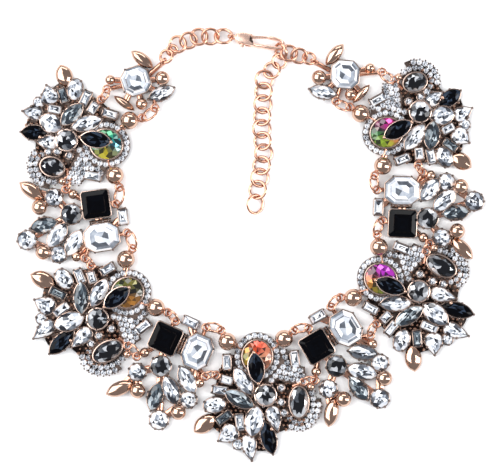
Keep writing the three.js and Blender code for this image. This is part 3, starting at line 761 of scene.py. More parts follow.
class Casting:
    def __init__(self, kind, number, name, turn, fan, hand):
        self.kind, self.number, self.name = kind, number, name
        self.turn, self.fan, self.hand = turn, fan, hand
        self.reach = reaches[kind]
        low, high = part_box(f"{middle_nodes[kind]}_{number}")
        self.origin = vec((low.x + high.x) / 2, (low.y + high.y) / 2) / MM
        self.covers = []

    def local(self, x, y, drawn=True):
        """A place given in shares of the reach, in the casting's own millimetres."""
        if drawn:
            x = x * (1 + self.fan) / 2 if x > 0 else x
            y = y * self.fan if y < 0 else y
        return vec(x * self.reach * self.hand, y * self.reach)

    def facing(self, turn):
        return turn if self.hand > 0 else 180 - turn

    def world(self, points):
        return turned(points, self.turn) + self.origin

    def put(self, solid, place, turn=0, level=0.0):
        points, faces = solid
        local = turned(points, turn) + place + vec(0, 0, level)
        return self.world(local), faces

    def spot(self, place, level):
        return self.world(place + vec(0, 0, level))

    def arm(self, start, end, width, high):
        """A rib from the back up to a height."""
        return self.put(rod(start, end, width, 0, high), vec(0, 0))


castings = [Casting(*row) for row in casting_rows]

# Small stones. Places are shares of the reach, lengths and widths shares of the cut's own size,
# height a share of a setting's.
rosette_stones = [
    # look, cut, x, y, length, width, turn, height
    ("clear", "marquise", -0.37, 0.23, 1.0, 0.95, 123, 1.3),
    ("grey", "marquise", -0.44, -0.07, 1.05, 0.95, 152, 1.3),
    ("clear", "marquise", -0.19, -0.44, 1.0, 1.15, 80, 1.3),
    ("clear", "pear", 0.15, -0.4, 1.0, 0.95, -75, 1.2),
    ("black", "marquise", 0.05, -0.72, 1.08, 0.95, 105, 1.1),
    ("clear", "pear", -0.27, -0.89, 1.0, 1.0, -80, 0.9),
    ("clear", "pear", -0.64, -0.67, 0.85, 1.2, -146, 1.0),
    ("clear", "baguette", -0.43, -0.46, 1.0, 0.95, 97, 1.0),
    ("grey", "baguette", -0.7, -0.38, 1.0, 0.95, 35, 1.0),
    ("clear", "oval", -0.86, -0.17, 1.0, 1.0, 8, 1.1),
    ("clear", "baguette", -0.77, 0.08, 0.9, 0.95, -8, 1.1),
    ("clear", "baguette", -0.655, 0.25, 0.72, 0.95, -14, 1.0),
    ("clear", "baguette", -0.65, 0.55, 0.9, 0.95, 92, 1.0),
    ("gold", "bullet", -1.02, -0.49, 1.0, 1.0, 37, 0.8),
    ("clear", "speck", -0.46, -0.83, 0.62, 0.62, 0, 0.9),
    ("clear", "baguette", 0.49, 0.6, 1.0, 0.95, 98, 1.0),
    ("clear", "speck", 0.26, 0.12, 0.4, 0.4, 0, 1.25),
    ("clear", "speck", 0.26, -0.12, 0.4, 0.4, 0, 1.25),
    ("clear", "speck", 0.31, -0.3, 0.4, 0.4, 0, 1.2),
]
bar_stones = [
    # look, cut, x, y, length, width, turn, height
    ("clear", "baguette", 0.3, 0.2, 0.96, 1.05, -24, 1.0),
    ("hematite", "round", -0.05, -0.33, 1.0, 1.0, 0, 1.2),
    ("clear", "chaton", -0.33, -0.41, 1.0, 1.0, 0, 1.0),
    ("gold", "marquise", -0.54, -0.61, 0.95, 0.9, 24, 1.0),
    ("grey", "marquise", -0.11, -0.7, 0.92, 0.95, 74, 1.1),
    ("clear", "marquise", 0.08, -0.62, 0.98, 0.98, 112, 1.1),
    ("clear", "marquise", 0.27, -0.49, 0.95, 0.95, 120, 1.2),
    ("clear", "chaton", 0.29, -0.73, 0.96, 0.96, 0, 1.0),
    ("clear", "chaton", -0.06, -0.98, 1.08, 1.08, 0, 1.0),
]
link_stones = [
    # look, cut, x, y, length, width, turn, height
    ("gold", "marquise", 0.15, 0.54, 0.87, 0.76, -38, 1.0),
    ("clear", "marquise", 0.63, -0.31, 0.88, 0.84, 24, 1.0),
    ("gold", "marquise", -0.29, -0.55, 0.8, 0.52, -35, 1.0),
]
stone_rows = {"rosette": rosette_stones, "bar": bar_stones, "link": link_stones}

octagon = cut_corner_outline(0.24, 0.24)
square = cut_corner_outline(0.07, 0.07)
oval_spot = (-0.14, 0.65)
side_spot = (0.56, -0.12)
main_rows = {
    # look, outline, size, x, y, turn, lift
    "rosette": [
        ("rainbow", "oval", rainbow_oval, *oval_spot, 90, big_lift),
        ("hematite", "oval", centre_round, 0, 0, 0, centre_lift),
        ("hematite_oval", "oval", hematite_oval, *side_spot, 90, big_lift),
    ],
    "bar": [
        ("black_square", "square", black_square, 0, 0, -23.5, 0.3),
        ("octagon", "octagon", clear_octagon, 0.385, -0.15, 68, 0),
    ],
    "link": [("octagon", "octagon", end_octagon, 0, 0, 17, 0)],
}
# Sides and table share of the brilliants, outline and step shares of the others
round_cuts = {"rainbow": (24, 0.6), "hematite": (16, 0.42), "hematite_oval": (20, 0.62)}
step_cuts = {
    "octagon": (octagon, (1, 0.84, 0.7, 0.64)),
    "black_square": (square, (1, 0.8, 0.66, 0.62)),
}
centre_bead_angles = (55, 125, 170, 215, 262, 330)
corner_bead_angles = (45, 135, 225, 315)

rosette_back = [
    # x, y
    (0.7, -0.17), (0.56, 0.14), (0.5, 0.6), (0.17, 0.67), (-0.55, 0.67), (-0.8, 0.34),
    (-0.87, -0.13), (-0.92, -0.47), (-0.7, -0.7), (-0.34, -0.92), (0.08, -0.92), (0.2, -0.64),
    (0.67, -0.5),
]
bar_ribs = [
    # x, y, x, y
    (0, 0, 0.385, -0.15), (0, 0, -0.05, -0.33), (-0.05, -0.33, -0.33, -0.41),
    (-0.33, -0.41, -0.54, -0.61), (-0.33, -0.41, -0.32, -0.63), (-0.05, -0.33, -0.06, -0.98),
    (0.385, -0.15, 0.29, -0.73), (0.29, -0.73, -0.06, -0.98), (-0.05, -0.33, 0.12, -0.72),
    (0.385, -0.15, 0.3, 0.2),
]

# Eyes: inner then outer on each side, with the ball behind an eye and the root of its arm
eye_rows = {
    "rosette": {
        "right": [(0.478, 1.08, big_ball, 218, 0.1, 0.75), (0.64, 0.22, 0, 0, 0.45, 0.15)],
        "left": [(-0.75, 1.085, big_ball, -60, -0.4, 0.75), (-0.832, 0.335, 0, 0, -0.7, 0.3)],
    },
    "bar": {
        "right": [(0.486, 0.143, 0, 0, 0.42, -0.05), (0.486, -0.445, small_ball, 230, 0.36, -0.3)],
        "left": [(0.12, 0.209, 0, 0, 0.06, 0.14), (-0.34, -0.22, small_ball, 27, -0.12, -0.1)],
    },
    "end_link_left": [(0.47, -0.67, 0, 0, 0.45, -0.4), (-0.72, -0.2, 0, 0, -0.2, -0.1)],
    "end_link_right": [(0.36, -0.6, 0, 0, 0.2, -0.3), (-0.9, -0.13, 0, 0, -0.2, -0.05)],
}
chain_eye = (0.68, 0.47, 0.3, 0.15)

# The black petal that lies over a rainbow oval
overlay_spot = (-0.16, 0.46)
overlay_turn = 99

# Loose balls on the castings' metal
rosette_balls = [
    # x, y, level, diameter
    (0.76, 0.14, 3.4, 3.2),
    (0.1, -0.57, 4.2, 1.6),
]
bar_balls = [(-0.32, -0.63), (0.17, -0.88)]
link_balls = {
    # x, y, diameter
    "end_link_left": [(0.65, 0.06, link_ball), (-0.64, 0.03, small_ball), (0.14, -0.57, end_ball)],
    "end_link_right": [(0.65, 0.06, link_ball), (-0.64, 0.03, small_ball),
                       (-0.03, -0.52, end_ball)],
}


def eyes_of(casting, side):
    if casting.kind == "link":
        return eye_rows[casting.name]
    return eye_rows[casting.kind][side]


def eye_at(casting, row):
    return casting.spot(casting.local(row[0], row[1], drawn=False), eye_level)


def joint_ring(first, second):
    """A jump ring through two eyes, leaning over towards the neck."""
    run = second - first
    diameter = np.linalg.norm(run) / ring_fill
    rise = math.sqrt(diameter ** 2 - run @ run) / 2
    turn, middle = rolled_frame((first + second) / 2, run, ring_lean)
    centre = middle + turn[:, 1] * rise
    return centre, turn, diameter


def ring_place(centre, turn, diameter):
    return centre, euler(turn), [diameter / 2] * 3


outlines = {
    "marquise": marquise_outline(32),
    "pear": pear_outline(32),
    "baguette": cut_corner_outline(0.05, 0.1),
    "oval": oval_outline(32),
    "octagon": octagon,
    "square": square,
}
rounded = {"chaton": "oval", "speck": "oval", "bullet": "marquise", "round": "oval"}
cut_outlines = {
    "marquise": marquise_outline(16),
    "pear": pear_outline(16),
    "oval": oval_outline(16),
}

# Where prong beads sit on a stone's edge, in degrees round its outline
bead_angles = {
    "marquise": (0, 62, 118, 180, 242, 298),
    "pear": (0, 70, 130, 180, 230, 290),
    "baguette": (26, 154, 206, 334),
    "oval": (30, 90, 150, 210, 270, 330),
    "chaton": (20, 65, 110, 155, 200, 245, 290, 335),
    "speck": (45, 135, 225, 315),
    "round": (15, 75, 135, 195, 255, 315),
}

beads = []
balls = []
pave = []
fillers = []
eyes = []
stones = {look: Shape() for look in ("clear", "grey", "black", "hematite")}
mains = {look: Shape() for look in ("rainbow", "hematite", "black_square", "octagon")}
petals = Shape()
tones = np.random.default_rng(11)


def upright(centre, width, height=None):
    """A place without a turn, as wide as it is high or with a height of its own."""
    return centre, (0, 0, 0), [width, width, height or width]


def edge_point(outline, degrees):
    """The outline's corner nearest to a direction from its middle."""
    a = np.degrees(np.arctan2(outline[:, 1], outline[:, 0]))
    best = np.argmin(np.abs((a - degrees + 180) % 360 - 180))
    return vec(*outline[best])


def bead_ring(casting, outline, angles, place, turn, level, diameter=bead):
    """Prong beads round a stone's edge."""
    for degrees in angles:
        edge = turned(edge_point(outline, degrees), turn) + place
        beads.append(upright(casting.spot(edge, level), diameter, diameter * bead_height))


def set_small_stone(casting, metalwork, row):
    """A petal, baguette or chaton in its setting, or a gold petal on its base."""
    look, cut, x, y, length, width, turn, height = row
    place = casting.local(x, y)
    along = 1.0
    if y < 0:
        along = 1 - (1 - casting.fan) * abs(math.sin(math.radians(turn)))
    long, wide = sizes[cut][0] * length * along, sizes[cut][1] * width
    level = setting_height * height
    family = rounded.get(cut, cut)
    facing = casting.facing(turn)
    size = np.array([long, wide])
    if look == "gold":
        solid = dome(outlines[family], long * 1.02, wide * 1.02, petal_rise)
        petals.add(casting.put(solid, place, facing, level - petal_sink))
        base = slab(outlines[family] * size * 0.8, 0, level - petal_sink)
        metalwork.add(casting.put(base, place, facing))
        casting.covers.append((place, facing, long / 2, wide / 2))
        return
    if cut == "baguette":
        solid = step_cut(outlines["baguette"], long, wide, small_crown, (1, 0.84, 0.66),
                         small_pavilion)
        facets = tones.random(len(solid[1]))
    else:
        solid = brilliant(cut_outlines[family], long, wide, small_crown, 0.55, small_pavilion)
        facets = brilliant_tones(solid[1], tones, look == "hematite")
    stones[look].add(casting.put(solid, place, facing, level), 0, facets)
    casting.covers.append((place, facing, long / 2, wide / 2))
    edge = outlines[family] * size
    metalwork.add(casting.put(wall(edge, level + 0.12, thin_wall), place, facing))
    metalwork.add(casting.put(slab(edge, 0, seat_plate), place, facing))
    diameter = bead * (0.8 if cut in ("speck", "baguette") else 1)
    bead_ring(casting, grown(edge, 0.12), bead_angles[cut], place, facing, level + lip_rise,
              diameter)


# Colours of each rainbow oval towards the photograph's right, top, left and bottom
rainbow_colours = {
    1: ((0.02, 0.2, 0.3), (0.03, 0.35, 0.1), (0.0, 0.12, 0.1), (0.55, 0.45, 0.02)),
    2: ((0.03, 0.03, 0.02), (0.16, 0.14, 0.02), (0.03, 0.12, 0.02), (0.55, 0.22, 0.02)),
    3: ((0.8, 0.35, 0.2), (0.75, 0.05, 0.02), (0.25, 0.22, 0.01), (0.3, 0.05, 0.02)),
    4: ((0.35, 0.02, 0.35), (0.35, 0.02, 0.4), (0.5, 0.12, 0.02), (0.25, 0.3, 0.02)),
    5: ((0.6, 0.02, 0.08), (0.4, 0.01, 0.2), (0.01, 0.1, 0.03), (0.3, 0.42, 0.02)),
}


def rainbow_tones(number, points, faces):
    """Each facet's colour by its direction from the stone's middle: the coating's own colours,
    made darker or brighter at random per facet as painted sparkle.
    """
    wheel = rainbow_colours[number]
    centre = points.mean(axis=0)
    out = []
    for face in faces:
        middle = points[list(face)].mean(axis=0) - centre
        a = math.degrees(math.atan2(middle[1], middle[0])) % 360
        k = int(a // 90)
        share = a / 90 - k
        mixed = np.array(wheel[k]) * (1 - share) + np.array(wheel[(k + 1) % 4]) * share
        # Painted sparkle: a random brightness for each facet
        out.append(tuple(np.clip(mixed * tones.choice([0.12, 0.45, 0.9, 1.4]), 0, 1)))
    return out


def set_main_stone(casting, metalwork, row):
    """A large stone in its bezel, at the place of its solid."""
    look, family, size, x, y, turn, lift = row
    place = casting.local(x, y)
    along = 1.0
    if y < 0 and x > 0.5:
        along = 1 - (1 - casting.fan) * abs(math.sin(math.radians(turn)))
    long, wide = size[0] * along, size[1]
    facing = casting.facing(turn)
    level = girdle_level + lift
    edge = outlines[family] * np.array([long, wide])
    if look in step_cuts:
        cut, shares = step_cuts[look]
        solid = step_cut(cut, long, wide, crown, shares)
    else:
        sides, table = round_cuts[look]
        solid = brilliant(oval_outline(sides), long, wide, crown, table)
    points, faces = casting.put(solid, place, facing, level)
    if look == "rainbow":
        mains["rainbow"].add((points, faces), 0, None,
                             rainbow_tones(casting.number, points, faces))
    elif look == "octagon":
        mains["octagon"].add((points, faces), 0, octagon_tones(faces, tones))
    elif look == "black_square":
        mains["black_square"].add((points, faces), 0, tones.random(len(faces)) * 0.6)
    else:
        mains["hematite"].add((points, faces), 0, brilliant_tones(faces, tones, True))
    casting.covers.append((place, facing, long / 2, wide / 2))
    thick = bezel_wall if look in round_cuts else thin_wall
    metalwork.add(casting.put(wall(edge, level + lip_rise, thick), place, facing))
    metalwork.add(casting.put(slab(edge, 0, seat_plate), place, facing))
    if look == "hematite":
        bead_ring(casting, grown(edge, 0.5), centre_bead_angles, place, facing,
                  level + lip_rise, 1.3)
    if look == "octagon":
        bead_ring(casting, grown(edge, 0.1), corner_bead_angles, place, facing,
                  level + lip_rise, 1.1)


def add_pave(casting, x, y, level):
    """A pave stone at a place in the casting's own millimetres, with a spin of its own."""
    spin = float(tones.random() * 60)
    centre = vec(x, y)
    pave.append((casting.spot(centre, level), (0, 0, math.radians(spin)), [pave_stone] * 3))


def pave_beads(casting, places, spacing, level):
    """One bead in each hollow between pave stones."""
    kept = []
    for x, y in places:
        for degrees in (30, 90, 150, 210, 270, 330):
            p = vec(x, y) + direction(degrees) * spacing * hollow_share
            if all(np.linalg.norm(p - q) > spacing * 0.35 for q in kept):
                kept.append(p)
    for p in kept:
        beads.append(upright(casting.spot(p, level), pave_bead, pave_bead * bead_height))


def inside(polygon, x, y):
    hit = False
    for (x0, y0), (x1, y1) in zip(polygon, polygon[1:] + polygon[:1]):
        if (y0 > y) != (y1 > y) and x < (x1 - x0) * (y - y0) / (y1 - y0) + x0:
            hit = not hit
    return hit


# Pave stones lie in a honeycomb: its slant in degrees, the share of the spacing between its rows
# and from a stone to the hollow between three, and the stones round a rainbow oval
pave_slant = -11
row_share = 0.866
hollow_share = 0.577
halo_stones = 22
# The field of pave between the rainbow oval and the side stone, in millimetres
pave_field = [(0.5, 9.2), (3.8, 11), (5.2, 19.4), (8.9, 19), (9.4, 12.4), (16.4, 11.6),
              (17, 5), (9.6, 5), (5.6, 6.4), (1.6, 6)]


def rosette_pave(casting):
    """Pave round the rainbow oval, in the field beside it and along the side stone."""
    oval_place = casting.local(*oval_spot)[:2]
    spacing = pave_stone * 1.06
    radius = rainbow_oval[0] / 2 + gap + bezel_wall + pave_stone / 2
    ring = []
    for k in range(halo_stones):
        p = direction(k * 360 / halo_stones) * radius
        place = oval_place + np.array([p[0] * 0.96, p[1]])
        ring.append(place)
        add_pave(casting, *place, halo_height)
        out = direction((k + 0.5) * 360 / halo_stones)
        for reach in (radius - 1.0, radius + 1.0):
            q = oval_place + np.array([out[0] * 0.96, out[1]]) * reach
            beads.append(upright(casting.spot(vec(*q), halo_height), pave_bead,
                                 pave_bead * bead_height))
    places = []
    for row in range(-14, 15):
        for column in range(-14, 15):
            p = direction(pave_slant) * (column + 0.5 * (row % 2)) * spacing
            p = p + direction(pave_slant + 90) * row * spacing * row_share
            x, y = p[0] * (1 + casting.fan) / 2 if p[0] > 0 else p[0], p[1]
            clear = all(np.hypot(x - q[0], y - q[1]) > pave_stone * 0.9 for q in ring)
            if inside(pave_field, x, y) and clear:
                places.append((x, y))
    for x, y in places:
        add_pave(casting, x, y, halo_height)
    pave_beads(casting, places, spacing, halo_height)
    side = casting.local(*side_spot)[:2]
    half_long = hematite_oval[0] / 2 * (1 - (1 - casting.fan))
    fringe = []
    for growth, first, last in ((2.2, -128, 40), (4.5, -112, -4)):
        semi = np.array([hematite_oval[1] / 2 + growth, half_long + growth])
        steps = np.radians(np.linspace(first, last, 200))
        path = np.stack([semi[0] * np.cos(steps), semi[1] * np.sin(steps)], axis=1) + side
        gone = np.concatenate([[0], np.cumsum(np.linalg.norm(np.diff(path, axis=0), axis=1))])
        for s in np.arange(0, gone[-1], spacing):
            fringe.append((np.interp(s, gone, path[:, 0]), np.interp(s, gone, path[:, 1])))
    for x, y in fringe:
        add_pave(casting, x, y, halo_height * 0.8)
    pave_beads(casting, fringe, spacing, halo_height * 0.8)


def fill_gaps(casting, outline):
    """Small beads on the back plate wherever no stone covers it."""
    polygon = [tuple(p) for p in outline]
    halo_centre = casting.local(*oval_spot)
    for n, y in enumerate(np.arange(-plate_reach, 18, filler_spacing)):
        for x in np.arange(-plate_reach, 20, filler_spacing):
            x += (n % 2) * filler_spacing / 2
            if not inside(polygon, x, y) or inside(pave_field, x, y):
                continue
            covered = np.hypot(x - halo_centre[0], y - halo_centre[1]) < halo_reach
            for place, facing, half_long, half_wide in casting.covers:
                p = turned(vec(x, y) - place, -facing)
                covered |= math.hypot(p[0] / (half_long + 0.2), p[1] / (half_wide + 0.2)) < 1
            if not covered:
                wander = tones.random(3) * 0.5
                spot = casting.spot(vec(x + wander[0], y + wander[1]), 1.6 + 2 * wander[2])
                fillers.append(upright(spot, filler_bead + wander[0]))


def build_rosette(casting, metalwork):
    """Back plate, halos, pave, loose beads, and the black petal over the rainbow oval."""
    reach = casting.reach
    outline = smooth_loop([casting.local(x, y)[:2] for x, y in rosette_back], 3)
    metalwork.add(casting.put(slab(outline, 0, back_thickness), vec(0, 0)))
    oval_place = casting.local(*oval_spot)
    size = np.array(rainbow_oval)
    halo = grown(outlines["oval"] * size, gap + bezel_wall + halo_width * 0.85)
    metalwork.add(casting.put(slab(halo, 0, halo_height - 0.2), oval_place, 90))
    side = casting.local(*side_spot) + vec(0.03 * reach, -0.09 * reach)
    size = np.array([hematite_oval[0] * casting.fan, hematite_oval[1]])
    side_halo = grown(outlines["oval"] * size, gap + bezel_wall + halo_width * 0.6)
    metalwork.add(casting.put(slab(side_halo, 0, halo_height * 0.8 - 0.2), side, 90))
    sweep = np.radians(np.linspace(-124, 8, 14))
    semi = np.array([hematite_oval[1] / 2, hematite_oval[0] / 2 * casting.fan]) + 5.6
    wing = np.stack([semi[0] * np.cos(sweep), semi[1] * np.sin(sweep)], axis=1)
    wing = np.concatenate([wing, [[0, 0]]]) + casting.local(*side_spot)[:2]
    metalwork.add(casting.put(slab(wing, 0, halo_height * 0.8 - 0.2), vec(0, 0)))
    field = np.array(pave_field) * np.array([(1 + casting.fan) / 2, 1])
    metalwork.add(casting.put(slab(field, 0, halo_height - 0.2), vec(0, 0)))
    rosette_pave(casting)
    fill_gaps(casting, outline)
    perch = girdle_level + big_lift + bezel_grip + crown + gap + small_crown
    place = vec(*overlay_spot) * reach
    long, wide = sizes["marquise"]
    solid = brilliant(cut_outlines["marquise"], long, wide, small_crown, 0.6, small_crown)
    stones["black"].add(casting.put(solid, place, overlay_turn, perch), 0,
                        tones.random(len(solid[1])))
    edge = outlines["marquise"] * np.array([long, wide])
    rim = loft([with_height(grown(edge, g), z) for g, z in
                ((0.3, -0.5), (0.34, -0.1), (0.22, 0.12), (-0.05, 0.16), (0.02, -0.2),
                 (0.0, -0.5))], wrap=True)
    metalwork.add(casting.put(rim, place, overlay_turn, perch))
    post = vec(-0.1 * reach, (centre_round[0] / 2 + oval_place[1] - rainbow_oval[0] / 2) / 2)
    metalwork.add(casting.put(slab(np.array([[1.2, -0.6], [1.2, 0.6], [-1.2, 0.6], [-1.2, -0.6]]),
                                   0, perch - 0.2), post))
    for share in (0.5, -0.5):
        tip = turned(vec(share * long, 0), overlay_turn) + place
        balls.append(upright(casting.spot(tip, perch - 0.1), 1.5))
    for x, y, level, diameter in rosette_balls:
        balls.append(upright(casting.spot(casting.local(x, y), level), diameter))


def build_bar(casting, metalwork):
    """Ribs between the settings, the beaded bar between the two large stones, and balls."""
    reach = casting.reach
    for x0, y0, x1, y1 in bar_ribs:
        metalwork.add(casting.arm(casting.local(x0, y0), casting.local(x1, y1), bar_rib,
                                  back_thickness), 1)
    along = direction(68) * 0.13 * reach
    middle = vec(0.2 * reach, -0.06 * reach)
    metalwork.add(casting.arm(middle - along, middle + along, 1.5, girdle_level + 0.4))
    for share in np.linspace(-0.8, 0.8, 4):
        beads.append(upright(casting.spot(middle + along * share, girdle_level + 0.7), 1.2, 1.4))
    for x, y in bar_balls:
        balls.append(upright(casting.spot(casting.local(x, y), middle_ball / 2), middle_ball))


def build_link(casting, metalwork, chain_ring):
    """Arms from the octagon to its petals, its balls and the chain's eye."""
    for _, _, x, y, *_ in link_stones:
        metalwork.add(casting.arm(vec(0, 0), casting.local(x, y), arm_width, back_thickness), 1)
    for x, y, diameter in link_balls[casting.name]:
        place = casting.local(x, y)
        metalwork.add(casting.arm(vec(0, 0), place, arm_width, back_thickness), 1)
        balls.append(upright(casting.spot(place, diameter / 2), diameter))
    x, y, root_x, root_y = chain_eye
    place = casting.local(x, y)
    metalwork.add(casting.arm(casting.local(root_x, root_y), place, 2,
                              eye_level - eye_hole / 2), 1)
    heading, roll = chain_ring
    turn, centre = rolled_frame(casting.spot(place, eye_level), heading, roll + 90)
    eyes.append(ring_place(centre, turn, eye_hole + eye_wall))


def add_eyes(casting, metalwork):
    """Eyes for the joints' rings, each on its arm, with a ball behind some."""
    sides = ("left",) if casting.kind == "link" else ("left", "right")
    for side in sides:
        for x, y, ball, angle, root_x, root_y in eyes_of(casting, side):
            place = casting.local(x, y, drawn=False)
            root = casting.local(root_x, root_y, drawn=False)
            arm = place - root
            length = np.linalg.norm(arm)
            tip = root + arm / length * (length - eye_hole / 2 - eye_wall / 2)
            metalwork.add(casting.arm(root, tip, 1.8, eye_level + eye_thickness / 2), 1)
            eyes.append(ring_place(casting.spot(place, eye_level), np.eye(3),
                                   eye_hole + eye_wall))
            if ball:
                stand_off = ball / 2 + 1.15 * wire + gap
                middle = place + direction(angle) * stand_off
                metalwork.add(casting.arm(root, middle, arm_width, back_thickness), 1)
                balls.append(upright(casting.spot(middle, ball / 2), ball))


# Chains

def route_curve(points):
    """Samples a smooth curve through the points: places and the length gone to each."""
    points = [np.asarray(p, float) for p in points]
    last = len(points) - 1
    samples = []
    for t in np.linspace(0, 1, 201):
        s = last * t
        i = min(int(s), last - 1)
        w = s - i
        p1, p2 = points[i], points[i + 1]
        p0 = points[i - 1] if i > 0 else 2 * points[0] - points[1]
        p3 = points[i + 2] if i + 2 <= last else 2 * points[last] - points[last - 1]
        d0, d1, d2 = (np.linalg.norm(b - a) ** 0.5 for a, b in ((p0, p1), (p1, p2), (p2, p3)))
        t1 = ((p1 - p0) / d0 - (p2 - p0) / (d0 + d1) + (p2 - p1) / d1) * d1
        t2 = ((p2 - p1) / d1 - (p3 - p1) / (d1 + d2) + (p3 - p2) / d2) * d1
        samples.append(p1 + t1 * w + (3 * (p2 - p1) - 2 * t1 - t2) * w ** 2
                       + (2 * (p1 - p2) + t1 + t2) * w ** 3)
    samples = np.array(samples)
    gone = np.concatenate([[0], np.cumsum(np.linalg.norm(np.diff(samples, axis=0), axis=1))])
    return samples, gone


bite = 0.65 * wire


def chain_of(start, route, end, last_share=1.0):
    """Links between two wire ends: flat and steep ones in turn, the first and last flat."""
    samples, gone = route_curve([start, *route, end])
    length = gone[-1]
    ratio = length / (chain_link - bite)
    count = int(math.floor(ratio + 0.5))
    if count % 2 == 0:
        count += 1 if ratio > count else -1
    diameter = (length + (count - 1) * bite) / (count - 1 + last_share)
    links = [None] * count
    for i in range(0, count, 2):
        own = diameter * (last_share if i == count - 1 else 1)
        at = diameter / 2 + i * (diameter - bite) + (own - diameter) / 2
        links[i] = {"centre": np.array([np.interp(at, gone, samples[:, k]) for k in range(3)]),
                    "diameter": own}
    for i in range(1, count, 2):
        before, after = links[i - 1], links[i + 1]
        run = after["centre"] - before["centre"]
        own = np.linalg.norm(run) - (before["diameter"] + after["diameter"]) / 2 + 2 * bite
        centre = before["centre"] + unit(run) * ((before["diameter"] + own) / 2 - bite)
        links[i] = {"centre": centre, "diameter": own, "heading": run, "roll": steep_roll}
    for i in range(0, count, 2):
        before = links[i - 1]["centre"] if i > 0 else np.asarray(start)
        after = links[i + 1]["centre"] if i + 1 < count else np.asarray(end)
        incoming = unit(links[i]["centre"] - before)
        outgoing = unit(after - links[i]["centre"])
        bend = math.degrees(math.acos(np.clip(incoming @ outgoing, -1, 1)))
        links[i]["heading"] = incoming + outgoing
        links[i]["roll"] = flat_roll * max(0, 1 - bend / 60)
    return links


def between(a, b, along, across):
    run = b - a
    return a + run * along + vec(-run[1], run[0]) * across


def link_places(links):
    """Polished links overlap more than the collision model's, and lie lower and flatter."""
    out = []
    for n, ring in enumerate(links):
        inner = min(n, len(links) - 1 - n, 2)
        laid = link_lie if inner else 1
        turn, centre = rolled_frame(ring["centre"], ring["heading"], ring["roll"] * laid)
        centre[2] -= inner * link_sink
        out.append(ring_place(centre, turn, ring["diameter"] + (link_growth if inner else 0)))
    return out


def chain_eye_at(casting):
    return casting.spot(casting.local(chain_eye[0], chain_eye[1]), eye_level)


left_eye = chain_eye_at(castings[0])
right_eye = chain_eye_at(castings[-1])
clasp_eye = between(left_eye, right_eye, 0.455, 0.165)
clasp_turn, _ = rolled_frame(clasp_eye, direction(clasp_heading), clasp_roll)
clasp_frame = (clasp_turn, clasp_eye)
left_route = [(0.06, 0.05), (0.1, 0.19), (0.28, 0.16), (0.56, 0.16), (0.86, 0.06)]
left_links = chain_of(left_eye, [between(left_eye, clasp_eye, *p) for p in left_route], clasp_eye,
                      end_ring_share)
hub_heading = direction(-70)
hub_centre = moved(vec(0.87 * clasp_length, 0), clasp_frame) + hub_heading * hub_ring / 2
hub_centre[2] = hub_ring / 2 * math.sin(math.radians(steep_roll)) + wire / 2
hub = {"centre": hub_centre, "heading": hub_heading, "roll": steep_roll, "diameter": hub_ring}
hub_frame = rolled_frame(hub_centre, hub_heading, steep_roll)
right_start = moved(vec(0.18, 0.12) * hub_ring, hub_frame)
right_links = chain_of(right_start, [between(right_start, right_eye, 0.5, 0.12)], right_eye)
# The extension's route, in millimetres from the hub
extension_route = [(-1, -4.8), (-5, -7.4), (-7, -12), (-7.4, -20), (-8.3, -31), (-6.9, -38),
                   (-8.4, -50), (-11.4, -68)]
from_hub = [vec(hub_centre[0] + x, hub_centre[1] + y, eye_level) for x, y in extension_route]
extension_links = chain_of(moved(vec(0.18, -0.14) * hub_ring, hub_frame), from_hub[:-1],
                           from_hub[-1], end_ring_share)

# Castings
for casting in castings:
    metalwork = Shape()
    for row in main_rows[casting.kind]:
        set_main_stone(casting, metalwork, row)
    for row in stone_rows[casting.kind]:
        set_small_stone(casting, metalwork, row)
    if casting.kind == "rosette":
        build_rosette(casting, metalwork)
    elif casting.kind == "bar":
        build_bar(casting, metalwork)
    else:
        ring = left_links[0] if casting.hand > 0 else right_links[-1]
        build_link(casting, metalwork, (ring["heading"], ring["roll"]))
    add_eyes(casting, metalwork)
    made = metalwork.make(casting.name + "_metalwork", [cast_gold, bright_gold])
    dress(made, "cast_rose_gold", casting.name)


def numbered(node, count):
    return [f"{node}_{k}" for k in range(1, count + 1)]


# Stones
dress(mains["rainbow"].make("rainbow_ovals", [rainbow_glass], False), "rainbow_glass",
      *numbered("rainbow_oval", 5))
dress(mains["hematite"].make("hematite_stones", [hematite_glass], False), "hematite_glass",
      *numbered("centre_hematite", 5), *numbered("hematite_oval", 5))
dress(mains["black_square"].make("black_squares", [black_glass], False), "black_glass",
      *numbered("black_square", 4))
dress(mains["octagon"].make("clear_octagons", [clear_glass], False), "clear_glass",
      *numbered("clear_octagon", 4), *numbered("end_octagon", 2))
dress(stones["clear"].make("clear_petals", [clear_glass], False), "clear_glass")
dress(stones["grey"].make("slate_petals", [grey_glass], False), "black_glass")
dress(stones["black"].make("black_petals", [black_glass], False), "black_glass")
dress(stones["hematite"].make("bar_hematites", [hematite_glass], False), "hematite_glass")
dress(petals.make("gold_petals", [ball_gold]), "cast_rose_gold")

pave_shape = template("pave_shape", brilliant(oval_outline(12), 1.04, 1.04, 0.36, 0.5, 0.3),
                      False, 8)
bead_shape = template("bead_shape", globe(10, 6), True)
ball_shape = template("ball_shape", globe(36, 18), True)
dress(grow("pave_stones", trees["copies"], pave, {"Shape": pave_shape, "Finish": clear_glass},
           False), "clear_glass")
dress(grow("prong_beads", trees["copies"], beads, {"Shape": bead_shape, "Finish": prong_metal},
           True), "cast_rose_gold")
dress(grow("plate_beads", trees["copies"], fillers, {"Shape": bead_shape, "Finish": ball_gold},
           True), "cast_rose_gold")
dress(grow("gold_balls", trees["copies"], balls, {"Shape": ball_shape, "Finish": ball_gold},
           True), "cast_rose_gold")
for made in (pave_shape, bead_shape, ball_shape):
    bpy.data.objects.remove(made)

# Rings and chains
jump_rings = []
for first, second in zip(castings, castings[1:]):
    for a, b in zip(eyes_of(first, "right"), eyes_of(second, "left")):
        jump_rings.append(ring_place(*joint_ring(eye_at(first, a), eye_at(second, b))))


def wire_piece(name, places, thickness, *nodes):
    inputs = {"Wire radius": thickness / 2 * MM, "Finish": bright_gold}
    dress(grow(name, trees["rings"], places, inputs, True), "rose_gold", *nodes)


